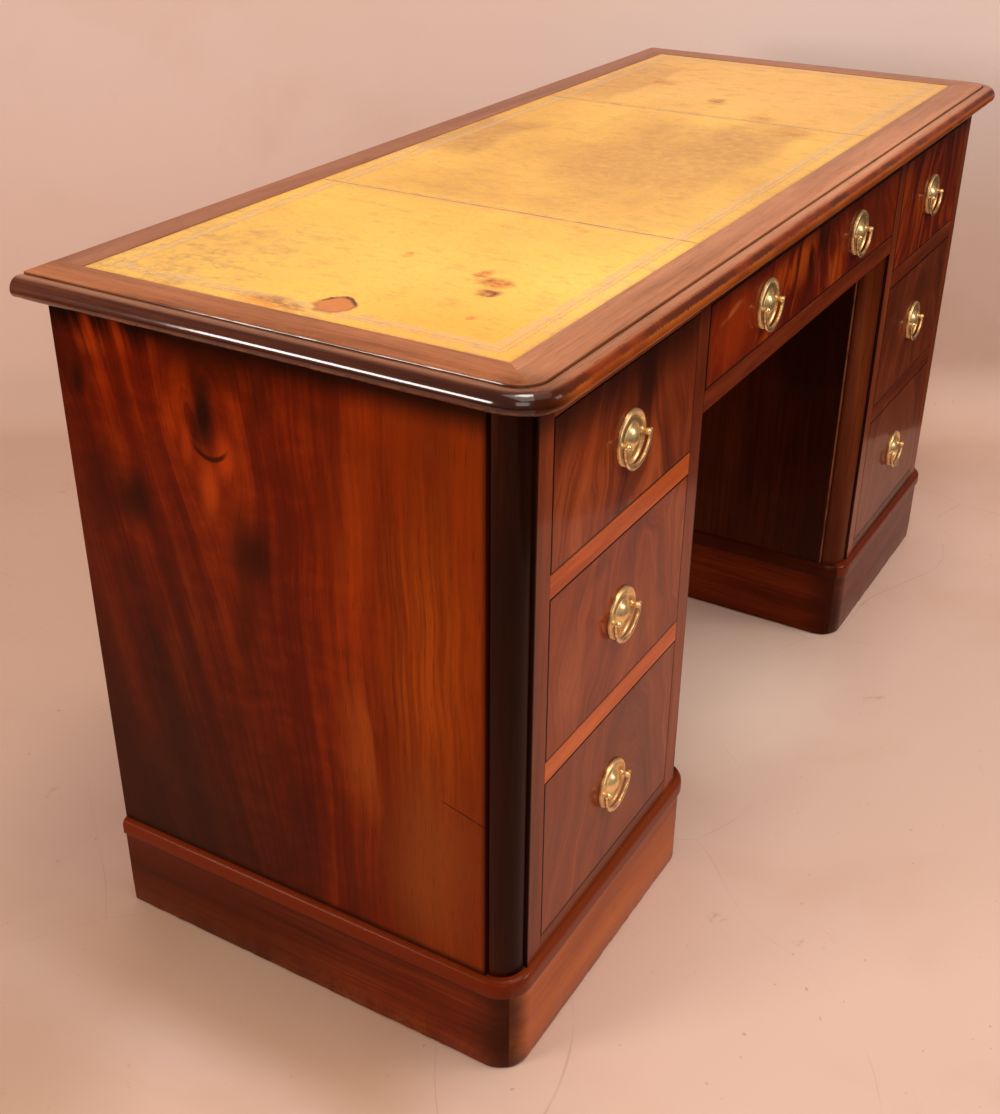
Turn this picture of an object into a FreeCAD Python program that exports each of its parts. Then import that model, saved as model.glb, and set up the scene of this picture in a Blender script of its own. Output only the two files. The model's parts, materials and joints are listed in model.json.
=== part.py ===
import FreeCAD, Part
import math
import os
import re
import Sketcher

# A mahogany pedestal desk: moulded top with an inset leather, two pedestals of three
# drawers each, a frieze drawer over the kneehole, moulded plinths and ring pulls.
#
# Frame: +Z up, the front faces -Y, +X runs along the width. The origin lies on the floor
# under the middle of the top. Lengths are in millimetres, angles in degrees.

Vector = FreeCAD.Vector
UP = Vector(0, 0, 1)

# Driving sizes, one row each: the name and the value
SIZES = [
    # The whole desk
    ("desk_height", 762),
    ("top_length", 1422),
    ("top_depth", 572),
    ("top_thickness", 22),
    ("front_overhang", 27),
    ("back_overhang", 33),
    ("end_overhang", 14),
    ("pedestal_width", 413),
    # The moulded edge and border of the top
    ("edge_projection", 20),
    ("edge_drop", 1.4),
    ("quirk_width", 2),
    ("quirk_depth", 3.2),
    ("nose_upper_radius", 7),
    ("nose_lower_radius", 9),
    ("field_corner_radius", 25),
    ("border_end_width", 40),
    ("border_front_width", 43),
    ("border_back_width", 36),
    # The writing leather
    ("leather_thickness", 1.4),
    ("leather_recess", 1.6),
    ("leather_middle_length", 540),
    ("leather_seam_gap", 0.4),
    # The carcass
    ("panel_thickness", 20),
    ("back_thickness", 10),
    ("column_width", 31),
    ("column_radius", 25),
    ("column_setback", 3.5),
    ("column_groove_depth", 7),
    ("stile_width", 27),
    ("stile_thickness", 22),
    ("rail_height", 24),
    ("rail_depth", 60),
    ("bottom_rail_height", 20),
    ("top_rail_height", 23),
    ("runner_bearing", 14),
    ("guide_height", 24),
    ("dustboard_thickness", 6),
    # The drawer openings, graduated: by how much the next one down is higher
    ("middle_opening_step", 29),
    ("lower_opening_step", 15),
    ("frieze_opening_height", 93),
    # The plinths
    ("base_height", 10),
    ("base_recess", 18),
    ("base_width", 18),
    ("plinth_height", 113),
    ("plinth_thickness", 20),
    ("plinth_projection", 4),
    ("plinth_corner_radius", 32),
    ("plinth_nose_projection", 3),
    ("plinth_nose_height", 20),
    ("plinth_nose_radius", 8),
    # The drawers
    ("front_thickness", 20),
    ("drawer_gap", 1),
    ("running_gap", 0.3),
    ("drawer_rear_gap", 32),
    ("side_thickness", 10),
    ("side_drop", 4),
    ("drawer_back_thickness", 9),
    ("drawer_back_drop", 8),
    ("drawer_bottom_thickness", 6),
    ("drawer_bottom_rise", 8),
    ("groove_depth", 5),
    ("dovetail_lap", 5),
    ("stop_length", 22),
    ("stop_depth", 12),
    ("stop_height", 5),
    # The ring pulls
    ("plate_radius", 28),
    ("plate_thickness", 1.4),
    ("rim_width", 4),
    ("rim_height", 4),
    ("boss_radius", 13),
    ("boss_height", 7),
    ("bead_width", 2),
    ("bead_height", 0.9),
    ("post_offset", 21.5),
    ("post_radius", 2.2),
    ("head_radius", 3.4),
    ("head_rise", 8.5),
    ("bolt_radius", 2),
    ("bolt_clearance", 0.1),
    ("bolt_tip", 2),
    ("nut_radius", 5),
    ("nut_thickness", 4),
    ("pin_radius", 1.1),
    ("pin_clearance", 0.06),
    ("pin_inset", 0.4),
    ("bail_clearance", 0.3),
    ("knuckle_radius", 2.1),
    ("bail_drop", 27),
    ("bail_depth", 1.8),
    ("bail_end_width", 1.9),
    ("bail_middle_width", 3.2),
    ("frieze_pull_offset", 155),
]

# Share of one dovetail's pitch that its tip and its neck take
TAIL_TIP_SHARE = 0.74
TAIL_NECK_SHARE = 0.56
# Places of the drawer stops along an opening, as shares of its width
STOP_SHARES = (0.2, 0.8)
BAIL_SECTIONS = 13

doc = FreeCAD.newDocument("PedestalDesk")
sheet = doc.addObject("Spreadsheet::Sheet", "Sizes")
for row, (alias, value) in enumerate(SIZES, start=1):
    sheet.set(f"A{row}", alias)
    sheet.set(f"B{row}", str(value))
    sheet.setAlias(f"B{row}", alias)
doc.recompute()

ALIASES = {alias for alias, value in SIZES}
WORD = re.compile(r"[a-z_]+")
NODES = []


# Formulas in the sheet's own words
def in_sheet(formula):
    return WORD.sub(lambda m: "Sizes." + m.group(0) if m.group(0) in ALIASES else m.group(0), formula)


def size(formula):
    return float(sheet.evalExpression(in_sheet(formula)))


def bind(piece, **formulas):
    for name, formula in formulas.items():
        piece.setExpression(name, in_sheet(formula))
    return piece


def place(piece, x="0", y="0", z="0"):
    for axis, formula in (("x", x), ("y", y), ("z", z)):
        piece.setExpression("Placement.Base." + axis, in_sheet(formula))
    return piece


def node(piece, label):
    piece.Label = label
    NODES.append(piece)
    return piece


# Plain solids and groups of them
def board(name, x, y, z):
    """A rectangular board between two bounds along each axis."""
    piece = doc.addObject("Part::Box", name)
    bind(piece, Length=f"({x[1]}) - ({x[0]})", Width=f"({y[1]}) - ({y[0]})", Height=f"({z[1]}) - ({z[0]})")
    return place(piece, x[0], y[0], z[0])


def cylinder(name, radius, length, direction, x="0", y="0", z="0"):
    piece = doc.addObject("Part::Cylinder", name)
    piece.Placement = FreeCAD.Placement(Vector(), FreeCAD.Rotation(UP, direction))
    bind(piece, Radius=radius, Height=length)
    return place(piece, x, y, z)


def quarter_cylinder(name, radius, length, start_angle, x, y, z):
    piece = doc.addObject("Part::Cylinder", name)
    piece.Placement = FreeCAD.Placement(Vector(), FreeCAD.Rotation(UP, start_angle))
    piece.Angle = 90
    bind(piece, Radius=radius, Height=length)
    return place(piece, x, y, z)


def joined(name, pieces):
    piece = doc.addObject("Part::MultiFuse", name)
    piece.Shapes = pieces
    piece.Refine = True
    return piece


def cut(name, base, tools):
    piece = doc.addObject("Part::Cut", name)
    piece.Base = base
    piece.Tool = tools[0] if len(tools) == 1 else group(name + "_tools", tools)
    return piece


def group(name, pieces):
    piece = doc.addObject("Part::Compound", name)
    piece.Links = pieces
    return piece


def feature(name, shape):
    piece = doc.addObject("Part::Feature", name)
    piece.Shape = shape
    piece.Placement = FreeCAD.Placement()
    return piece


# Shared planes and levels of the desk
FRONT = "-top_depth / 2 + front_overhang"
BACK = "top_depth / 2 - back_overhang"
INSIDE_BACK = f"{BACK} - back_thickness"
HALF_BODY = "(top_length / 2 - end_overhang)"
UNDER_TOP = "desk_height - top_thickness"
TOP_RAIL = f"{UNDER_TOP} - top_rail_height"
PLINTH_TOP = "base_height + plinth_height"
LOWER_FLOOR = f"{PLINTH_TOP} + bottom_rail_height"

# The room between the bottom rail and the top rail, less two rails, is split in three
DRAWER_ROOM = f"({TOP_RAIL} - ({LOWER_FLOOR}) - 2 * rail_height)"
UPPER_OPENING = f"(({DRAWER_ROOM} - 2 * middle_opening_step - lower_opening_step) / 3)"
MIDDLE_OPENING = f"({UPPER_OPENING} + middle_opening_step)"
LOWER_OPENING = f"({MIDDLE_OPENING} + lower_opening_step)"
LOWER_RAIL = f"{LOWER_FLOOR} + {LOWER_OPENING}"
MIDDLE_FLOOR = f"{LOWER_RAIL} + rail_height"
UPPER_RAIL = f"{MIDDLE_FLOOR} + {MIDDLE_OPENING}"
UPPER_FLOOR = f"{TOP_RAIL} - {UPPER_OPENING}"
FRIEZE_FLOOR = f"{TOP_RAIL} - frieze_opening_height"
FRIEZE_RAIL = f"{FRIEZE_FLOOR} - rail_height"

# Places across one pedestal, counted inwards from the desk's end
OPENING_START = "column_width + stile_width"
OPENING_END = "pedestal_width - column_width - stile_width"
INNER_STILE_END = "pedestal_width - column_width"
INNER_PANEL = "pedestal_width - panel_thickness"
SIDES = ("left", "right")


def across(side, near, far):
    """The stretch of X from near to far, counted inwards from the desk's left or right end."""
    if side == "left":
        return f"-{HALF_BODY} + {near}", f"-{HALF_BODY} + {far}"
    return f"{HALF_BODY} - ({far})", f"{HALF_BODY} - ({near})"


KNEE_OPENING = (across("left", "0", INNER_STILE_END)[1], across("right", "0", INNER_STILE_END)[0])
KNEEHOLE = (across("left", "0", "pedestal_width")[1], across("right", "0", "pedestal_width")[0])


# Moulded edges: one outline, run along three sides and turned round two front corners
def outline_face(points):
    """A face in the XZ plane. Each point is (x, z), and (x, z, via_x, via_z) ends an arc."""
    edges = []
    for start, end in zip(points, points[1:] + points[:1]):
        tail = Vector(start[0], 0, start[1])
        tip = Vector(end[0], 0, end[1])
        if len(end) == 4:
            edges.append(Part.Arc(tail, Vector(end[2], 0, end[3]), tip).toShape())
        else:
            edges.append(Part.makeLine(tail, tip))
    return Part.Face(Part.Wire(edges))


def quarter_arc(centre, radius, start_degrees, end_degrees):
    """The end point and middle point of an arc about a centre, as outline_face reads them."""
    end = math.radians(end_degrees)
    middle = math.radians((start_degrees + end_degrees) / 2)
    return (centre[0] + radius * math.cos(end), centre[1] + radius * math.sin(end),
            centre[0] + radius * math.cos(middle), centre[1] + radius * math.sin(middle))


def turned(face, degrees, corner):
    copy = face.copy()
    copy.rotate(Vector(), UP, degrees)
    copy.translate(corner)
    return copy


def moulded_boards(name, face, left_corner, right_corner, back_y, flat_parts):
    """Left, front and right boards with the outline on their outer edge, mitred at the corners.

    The outline's own axis stands at each corner's centre. flat_parts holds a solid for each
    board that fills the stretch between the outline and the board's inner edge, or nothing.
    """
    run_back = Vector(0, back_y - left_corner.y, 0)
    run_right = right_corner - left_corner
    west = turned(face, 180, left_corner)
    south = turned(face, 270, left_corner)
    east = turned(face, 0, right_corner)
    left = [west.extrude(run_back), west.revolve(left_corner, UP, 45)]
    front = [turned(face, 225, left_corner).revolve(left_corner, UP, 45), south.extrude(run_right),
             turned(face, 270, right_corner).revolve(right_corner, UP, 45)]
    right = [turned(face, 315, right_corner).revolve(right_corner, UP, 45), east.extrude(run_back)]
    boards = []
    for side, solids in zip(("left", "front", "right"), (left, front, right)):
        solids = solids + flat_parts.get(side, [])
        fused = solids[0].fuse(solids[1:]).removeSplitter()
        boards.append(feature(f"{name}_{side}", fused))
    return boards


def flat_piece(corners, low, high):
    wire = Part.makePolygon([Vector(x, y, low) for x, y in corners + corners[:1]])
    return Part.Face(wire).extrude(Vector(0, 0, high - low))


# The top: a ground board under the leather, and a moulded border mitred at the front
def make_top():
    leather_x = "top_length / 2 - edge_projection - border_end_width"
    leather_front = "-top_depth / 2 + edge_projection + border_front_width"
    leather_back = "top_depth / 2 - border_back_width"
    seat = "desk_height - leather_recess"
    node(board("ground", (f"-({leather_x})", leather_x), (leather_front, leather_back), (UNDER_TOP, seat)),
         "top_ground")

    low = size(UNDER_TOP)
    high = size("desk_height")
    core = size("field_corner_radius")
    outer = core + size("edge_projection")
    upper = size("nose_upper_radius")
    lower = size("nose_lower_radius")
    shoulder = high - size("edge_drop")
    quirk_edge = core + size("quirk_width")
    quirk_floor = high - size("quirk_depth")
    face = outline_face([
        (0, low),
        (outer - lower, low),
        quarter_arc((outer - lower, low + lower), lower, -90, 0),
        (outer, shoulder - upper),
        quarter_arc((outer - upper, shoulder - upper), upper, 0, 90),
        (quirk_edge, shoulder),
        (quirk_edge, quirk_floor),
        (core, quirk_floor),
        (core, high),
        (0, high),
    ])
    corner_x = size("top_length / 2") - outer
    corner_y = size("-top_depth / 2") + outer
    end_y = size("top_depth / 2")
    inner_x = size(leather_x)
    inner_y = size(leather_front)
    flats = {
        "left": [flat_piece([(-inner_x, inner_y), (-inner_x, end_y), (-corner_x, end_y),
                             (-corner_x, corner_y)], low, high)],
        "front": [flat_piece([(-inner_x, inner_y), (-corner_x, corner_y), (corner_x, corner_y),
                              (inner_x, inner_y)], low, high)],
        "right": [flat_piece([(inner_x, inner_y), (corner_x, corner_y), (corner_x, end_y),
                              (inner_x, end_y)], low, high)],
    }
    boards = moulded_boards("border", face, Vector(-corner_x, corner_y, 0), Vector(corner_x, corner_y, 0),
                            end_y, flats)
    back = board("border_back", (f"-({leather_x})", leather_x), (leather_back, "top_depth / 2"),
                 (UNDER_TOP, "desk_height"))
    node(group("border", boards + [back]), "top_border")

    seam = "leather_middle_length / 2"
    stretches = ((f"-({leather_x})", f"-{seam} - leather_seam_gap"), (f"-{seam}", seam),
                 (f"{seam} + leather_seam_gap", leather_x))
    skins = [board(f"skin_{number}", x, (leather_front, leather_back), (seat, f"{seat} + leather_thickness"))
             for number, x in enumerate(stretches)]
    node(group("skins", skins), "writing_leather")


# The carcass: end and kneehole panels, backs, columns, stiles and rails
def make_columns():
    """Four front columns: a quarter round set back from both faces, with a groove on each flank."""
    columns = []
    kinds = (("left", "outer", "0", UNDER_TOP, 180), ("left", "inner", "pedestal_width", FRIEZE_RAIL, 270),
             ("right", "outer", "0", UNDER_TOP, 270), ("right", "inner", "pedestal_width", FRIEZE_RAIL, 180))
    for side, kind, edge, top, start_angle in kinds:
        name = f"{side}_{kind}_column"
        turn = 1 if kind == "outer" else -1
        sign = "+" if turn == 1 else "-"
        axis = f"{edge} {sign} (column_setback + column_radius)"
        core = sorted_stretch(side, f"{edge} {sign} column_groove_depth", f"{edge} {sign} column_width", turn)
        centre_x = across(side, axis, axis)[0]
        round_part = quarter_cylinder(name + "_round", "column_radius", f"{top} - ({PLINTH_TOP})", start_angle,
                                      centre_x, f"{FRONT} + column_setback + column_radius", PLINTH_TOP)
        square = board(name + "_core", core, (f"{FRONT} + column_groove_depth", f"{FRONT} + column_width"),
                       (PLINTH_TOP, top))
        columns.append(joined(name, [round_part, square]))
    node(group("columns", columns), "corner_columns")


def sorted_stretch(side, start, end, turn):
    """A stretch across a pedestal whose two ends are given outwards when turn is -1."""
    return across(side, start, end) if turn == 1 else across(side, end, start)


def make_carcass():
    depth = (f"{FRONT} + column_width", BACK)
    for side in SIDES:
        node(board(f"{side}_end", across(side, "0", "panel_thickness"), depth, (PLINTH_TOP, UNDER_TOP)),
             f"{side}_end_panel")
        node(board(f"{side}_knee", across(side, INNER_PANEL, "pedestal_width"), depth,
                   (PLINTH_TOP, FRIEZE_RAIL)), f"{side}_inner_panel")
        node(board(f"{side}_rear", across(side, "panel_thickness", INNER_PANEL), (INSIDE_BACK, BACK),
                   (PLINTH_TOP, UNDER_TOP)), f"{side}_back_panel")
    between = (across("left", "0", INNER_PANEL)[1], across("right", "0", INNER_PANEL)[0])
    node(board("frieze_rear", between, (INSIDE_BACK, BACK), (FRIEZE_RAIL, UNDER_TOP)), "frieze_back_panel")

    stile_depth = (FRONT, f"{FRONT} + stile_thickness")
    stiles = []
    dividers = []
    floors = []
    for side in SIDES:
        outer = across(side, "column_width", OPENING_START)
        inner = across(side, OPENING_END, INNER_STILE_END)
        stiles.append(board(f"{side}_outer_stile", outer, stile_depth, (PLINTH_TOP, UNDER_TOP)))
        stiles.append(board(f"{side}_inner_stile", inner, stile_depth, (PLINTH_TOP, UNDER_TOP)))
        dividers.append(board(f"{side}_divider", inner, (f"{FRONT} + stile_thickness", INSIDE_BACK),
                              (UPPER_FLOOR, UNDER_TOP)))
        floors.append(board(f"{side}_floor", across(side, "panel_thickness", INNER_PANEL),
                            (f"{FRONT} + rail_depth", INSIDE_BACK), (PLINTH_TOP, LOWER_FLOOR)))
    node(group("stiles", stiles), "front_stiles")
    node(group("dividers", dividers), "frieze_dividers")
    node(group("floors", floors), "floor_boards")

    rail_depth = (FRONT, f"{FRONT} + rail_depth")
    levels = (("bottom", PLINTH_TOP, LOWER_FLOOR), ("lower", LOWER_RAIL, MIDDLE_FLOOR),
              ("upper", UPPER_RAIL, UPPER_FLOOR), ("top", TOP_RAIL, UNDER_TOP))
    for side in SIDES:
        opening = across(side, OPENING_START, OPENING_END)
        rails = [board(f"{side}_{name}_rail", opening, rail_depth, (low, high)) for name, low, high in levels]
        node(group(f"{side}_rail_set", rails), f"{side}_rails")
    frieze = [board("frieze_lower_rail", KNEE_OPENING, rail_depth, (FRIEZE_RAIL, FRIEZE_FLOOR)),
              board("frieze_top_rail", KNEE_OPENING, rail_depth, (TOP_RAIL, UNDER_TOP))]
    node(group("frieze_rail_set", frieze), "frieze_rails")


# What the drawers run on: runners, guides, dustboards and stops
def make_runners():
    run = (f"{FRONT} + rail_depth", INSIDE_BACK)
    guide_run = (f"{FRONT} + column_width", INSIDE_BACK)
    outer_guide = ("panel_thickness", OPENING_START)
    inner_guide = (OPENING_END, INNER_PANEL)
    outer_runner = ("panel_thickness", f"{OPENING_START} + runner_bearing")
    inner_start = f"{OPENING_END} - runner_bearing"
    dustboard = (outer_runner[1], inner_start)
    levels = (("lower", LOWER_RAIL, INNER_PANEL), ("upper", UPPER_RAIL, INNER_STILE_END))
    for side in SIDES:
        pieces = []
        for level, low, inner_end in levels:
            high = f"{low} + rail_height"
            inner_runner = (inner_start, inner_end)
            middle = f"{low} + rail_height / 2"
            pieces.append(board(f"{side}_{level}_outer_runner", across(side, *outer_runner), run, (low, high)))
            pieces.append(board(f"{side}_{level}_inner_runner", across(side, *inner_runner), run, (low, high)))
            pieces.append(board(f"{side}_{level}_dustboard", across(side, *dustboard), run,
                                (f"{middle} - dustboard_thickness / 2", f"{middle} + dustboard_thickness / 2")))
        guides = (("lower_outer", outer_guide, LOWER_FLOOR), ("lower_inner", inner_guide, LOWER_FLOOR),
                  ("middle_outer", outer_guide, MIDDLE_FLOOR), ("middle_inner", inner_guide, MIDDLE_FLOOR),
                  ("upper_outer", outer_guide, UPPER_FLOOR))
        for name, stretch, low in guides:
            pieces.append(board(f"{side}_{name}_guide", across(side, *stretch), guide_run,
                                (low, f"{low} + guide_height")))
        node(group(f"{side}_runner_set", pieces), f"{side}_runners")

    shelves = [board(f"{side}_frieze_runner", across(side, INNER_STILE_END, "pedestal_width"), run,
                     (FRIEZE_RAIL, FRIEZE_FLOOR)) for side in SIDES]
    soffit_low = f"{FRIEZE_RAIL} + dustboard_thickness"
    shelves.append(board("kneehole_soffit", KNEEHOLE, run, (soffit_low, f"{soffit_low} + dustboard_thickness")))
    node(group("frieze_runner_set", shelves), "frieze_runners")


def make_stops(openings):
    """Small blocks on the rails that meet the back of each closed drawer front."""
    stops = []
    for name, x, z in openings:
        for number, share in enumerate(STOP_SHARES):
            centre = f"({x[0]}) + (({x[1]}) - ({x[0]})) * {share}"
            stops.append(board(f"{name}_stop_{number}",
                               (f"{centre} - stop_length / 2", f"{centre} + stop_length / 2"),
                               (f"{FRONT} + front_thickness", f"{FRONT} + front_thickness + stop_depth"),
                               (z[0], f"{z[0]} + stop_height")))
    node(group("stops", stops), "drawer_stops")


# The plinths: moulded boards round three sides, a plain back, and a recessed base under them
def make_plinths():
    low = size("base_height")
    high = size(PLINTH_TOP)
    face_radius = size("plinth_corner_radius")
    inner_radius = face_radius - size("plinth_thickness")
    nose = face_radius + size("plinth_nose_projection")
    nose_radius = size("plinth_nose_radius")
    nose_low = high - size("plinth_nose_height")
    face = outline_face([
        (inner_radius, low),
        (face_radius, low),
        (face_radius, nose_low),
        (nose, nose_low),
        (nose, high - nose_radius),
        quarter_arc((nose - nose_radius, high - nose_radius), nose_radius, 0, 90),
        (inner_radius, high),
    ])
    axis = "plinth_corner_radius - plinth_projection"
    corner_y = size(f"{FRONT} + {axis}")
    strips = []
    for side in SIDES:
        ends = sorted(size(edge) for edge in across(side, axis, f"pedestal_width - ({axis})"))
        boards = moulded_boards(f"{side}_plinth", face, Vector(ends[0], corner_y, 0),
                                Vector(ends[1], corner_y, 0), size(BACK), {})
        inset = "plinth_thickness - plinth_projection"
        inside = across(side, inset, f"pedestal_width - ({inset})")
        back = board(f"{side}_plinth_back", inside, (f"{BACK} - plinth_thickness", BACK),
                     ("base_height", PLINTH_TOP))
        node(group(f"{side}_plinth_set", boards + [back]), f"{side}_plinth")

        near = "base_recess - plinth_projection"
        far = f"pedestal_width - ({near})"
        front_y = f"{FRONT} + ({near})"
        back_y = f"{BACK} - ({near})"
        height = ("0", "base_height")
        strips += [
            board(f"{side}_base_front", across(side, near, far), (front_y, f"{front_y} + base_width"), height),
            board(f"{side}_base_back", across(side, near, far), (f"{back_y} - base_width", back_y), height),
            board(f"{side}_base_outer", across(side, near, f"{near} + base_width"),
                  (f"{front_y} + base_width", f"{back_y} - base_width"), height),
            board(f"{side}_base_inner", across(side, f"{far} - base_width", far),
                  (f"{front_y} + base_width", f"{back_y} - base_width"), height),
        ]
    node(group("base_set", strips), "base_strips")


# The ring pull, in its own frame: +Z stands out of the drawer front, +Y is up
def revolved_body(name, points):
    """A body turned about Z. Each point is (radius, height) in formulas; four entries end an arc."""
    body = doc.addObject("PartDesign::Body", name)
    sketch = body.newObject("Sketcher::SketchObject", name + "_profile")
    plane = [item for item in body.Origin.OriginFeatures if item.Role == "XZ_Plane"][0]
    sketch.AttachmentSupport = [(plane, "")]
    sketch.MapMode = "FlatFace"
    for start, end in zip(points, points[1:] + points[:1]):
        tail = Vector(size(start[0]), size(start[1]), 0)
        tip = Vector(size(end[0]), size(end[1]), 0)
        if len(end) == 4:
            bow = Vector(size(end[2]), size(end[3]), 0)
            index = sketch.addGeometry(Part.Arc(tail, bow, tip), False)
        else:
            index = sketch.addGeometry(Part.LineSegment(tail, tip), False)
        if len(end) == 2:
            pin_point(sketch, index, 1, start)
            pin_point(sketch, index, 2, end)
    doc.recompute()
    turn = body.newObject("PartDesign::Revolution", name + "_turn")
    turn.Profile = sketch
    turn.ReferenceAxis = (sketch, ["V_Axis"])
    turn.Angle = 360
    doc.recompute()
    return body


def pin_point(sketch, index, position, point):
    """Hold one end of a line at its named place, measured from the sketch's origin."""
    for kind, formula in (("DistanceX", point[0]), ("DistanceY", point[1])):
        number = sketch.addConstraint(Sketcher.Constraint(kind, -1, 1, index, position, size(formula)))
        sketch.setExpression(f"Constraints[{number}]", in_sheet(formula))


def make_pull():
    """The fixed fittings of one pull and its bail, as masters that every drawer repeats."""
    dish = "plate_radius - rim_width"
    dome_radius = "(boss_radius ^ 2 + boss_height ^ 2) / (2 * boss_height)"
    dome_top = "plate_thickness + boss_height"
    dome_side = f"{dome_top} - {dome_radius} + sqrt(({dome_radius}) ^ 2 - (boss_radius / 2) ^ 2)"
    plate = revolved_body("plate_blank", [
        ("0", "0"),
        ("plate_radius", "0"),
        ("plate_radius", "plate_thickness"),
        (dish, "plate_thickness", "plate_radius - rim_width / 2", "rim_height"),
        ("boss_radius + bead_width", "plate_thickness"),
        ("boss_radius", "plate_thickness", "boss_radius + bead_width / 2", "plate_thickness + bead_height"),
        ("0", dome_top, "boss_radius / 2", dome_side),
    ])
    holes = [cylinder(f"plate_hole_{sign}", "post_radius", "rim_height", UP, f"{sign}post_offset")
             for sign in ("-", "+")]
    backplate = cut("backplate", plate, holes)

    tail = "-(front_thickness + nut_thickness + bolt_tip)"
    neck = "head_rise - sqrt(head_radius ^ 2 - post_radius ^ 2)"
    post_blank = revolved_body("post_blank", [
        ("0", tail),
        ("bolt_radius", tail),
        ("bolt_radius", "0"),
        ("post_radius", "0"),
        ("post_radius", neck),
        ("0", "head_rise + head_radius", "head_radius", "head_rise"),
    ])
    eye = cylinder("post_eye", "pin_radius + pin_clearance", "2 * head_radius", Vector(1, 0, 0),
                   "-head_radius", "0", "head_rise")
    post = cut("post", post_blank, [eye])

    nut_blank = doc.addObject("Part::Prism", "nut_blank")
    nut_blank.Polygon = 6
    bind(nut_blank, Circumradius="nut_radius", Height="nut_thickness")
    place(nut_blank, "0", "0", "-front_thickness - nut_thickness")
    thread = cylinder("nut_thread", "bolt_radius", "nut_thickness", UP, "0", "0",
                      "-front_thickness - nut_thickness")
    nut = cut("nut", nut_blank, [thread])

    pairs = []
    for sign in ("-", "+"):
        pairs.append(place(group(f"post_{sign}", [post]), f"{sign}post_offset"))
        pairs.append(place(group(f"nut_{sign}", [nut]), f"{sign}post_offset"))
    fittings = group("pull_fittings", [backplate] + pairs)
    return fittings, make_bail()


def make_bail():
    """A crescent ring, widest at the bottom, with a knuckle and an inward pin at each end."""
    half_span = "post_offset + head_radius + bail_clearance + knuckle_radius"
    span = size(half_span)
    drop = size("bail_drop")
    rise = size("head_rise")
    depth = size("bail_depth")
    end_width = size("bail_end_width")
    extra_width = size("bail_middle_width") - end_width
    wires = []
    for step in range(BAIL_SECTIONS):
        angle = math.pi * step / (BAIL_SECTIONS - 1)
        centre = Vector(-span * math.cos(angle), -drop * math.sin(angle), rise)
        outward = Vector(-drop * math.cos(angle), -span * math.sin(angle), 0).normalize()
        width = end_width + extra_width * math.sin(angle) ** 2
        ring = Part.Ellipse(centre + outward * width, centre + UP * depth, centre)
        wires.append(Part.Wire([ring.toShape()]))
    crescent = feature("bail_crescent", Part.makeLoft(wires, True, False))
    pieces = [crescent]
    for sign in ("-", "+"):
        knuckle = doc.addObject("Part::Sphere", f"bail_knuckle_{sign}")
        bind(knuckle, Radius="knuckle_radius")
        pieces.append(place(knuckle, f"{sign}({half_span})", "0", "head_rise"))
        pin_end = "post_offset - head_radius + pin_inset"
        length = f"{half_span} - ({pin_end})"
        start = pin_end if sign == "+" else f"-({half_span})"
        pieces.append(cylinder(f"bail_pin_{sign}", "pin_radius", length, Vector(1, 0, 0), start, "0", "head_rise"))
    return joined("bail", pieces)


def on_front(piece, x, z):
    """Stand a pull's piece on a drawer front, centred at x and z."""
    piece.Placement = FreeCAD.Placement(Vector(), FreeCAD.Rotation(Vector(1, 0, 0), 90))
    return place(piece, x, FRONT, z)


# The drawers: front, two dovetailed sides, a back, a bottom and their pulls
def make_drawer(name, x, z, tail_count, pulls, fittings, bail):
    left = f"{x[0]} + drawer_gap"
    right = f"{x[1]} - drawer_gap"
    inner_left = f"{left} + side_thickness"
    inner_right = f"{right} - side_thickness"
    low = f"{z[0]} + running_gap"
    high = f"{z[1]} - side_drop"
    face_back = f"{FRONT} + front_thickness"
    rear = f"{INSIDE_BACK} - drawer_rear_gap"
    bottom_low = f"{low} + drawer_bottom_rise"
    bottom_high = f"{bottom_low} + drawer_bottom_thickness"

    bottom = board(f"{name}_bottom_board", (f"{inner_left} - groove_depth", f"{inner_right} + groove_depth"),
                   (f"{face_back} - groove_depth", rear), (bottom_low, bottom_high))
    node(bottom, f"{name}_bottom")

    sides = []
    all_tails = []
    for side, stretch in (("left", (left, inner_left)), ("right", (inner_right, right))):
        tails = [dovetail(f"{name}_{side}_tail_{number}", stretch, low, high, number, tail_count)
                 for number in range(tail_count)]
        plank = board(f"{name}_{side}_plank", stretch, (face_back, rear), (low, high))
        whole = joined(f"{name}_{side}_blank", [plank] + tails)
        sides.append(cut(f"{name}_{side}_side", whole, [bottom]))
        all_tails += tails
    back = board(f"{name}_back_board", (inner_left, inner_right), (f"{rear} - drawer_back_thickness", rear),
                 (bottom_high, f"{high} - drawer_back_drop"))
    node(group(f"{name}_box_set", sides + [back]), f"{name}_box")

    middle = f"({z[0]} + {z[1]}) / 2"
    bores = []
    for number, pull_x in enumerate(pulls):
        for sign in ("-", "+"):
            bores.append(cylinder(f"{name}_bore_{number}{sign}", "bolt_radius + bolt_clearance",
                                  "front_thickness", Vector(0, 1, 0), f"{pull_x} {sign} post_offset", FRONT,
                                  middle))
    plank = board(f"{name}_front_blank", (left, right), (FRONT, face_back),
                  (f"{z[0]} + drawer_gap", f"{z[1]} - drawer_gap"))
    node(cut(f"{name}_front_board", plank, all_tails + [bottom] + bores), f"{name}_front")

    plates = [on_front(group(f"{name}_fittings_{number}", [fittings]), pull_x, middle)
              for number, pull_x in enumerate(pulls)]
    node(group(f"{name}_handle_set", plates), f"{name}_handle")
    for number, pull_x in enumerate(pulls):
        label = f"{name}_bail" if len(pulls) == 1 else f"{name}_{SIDES[number]}_bail"
        node(on_front(group(f"{name}_bail_{number}", [bail]), pull_x, middle), label)


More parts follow.
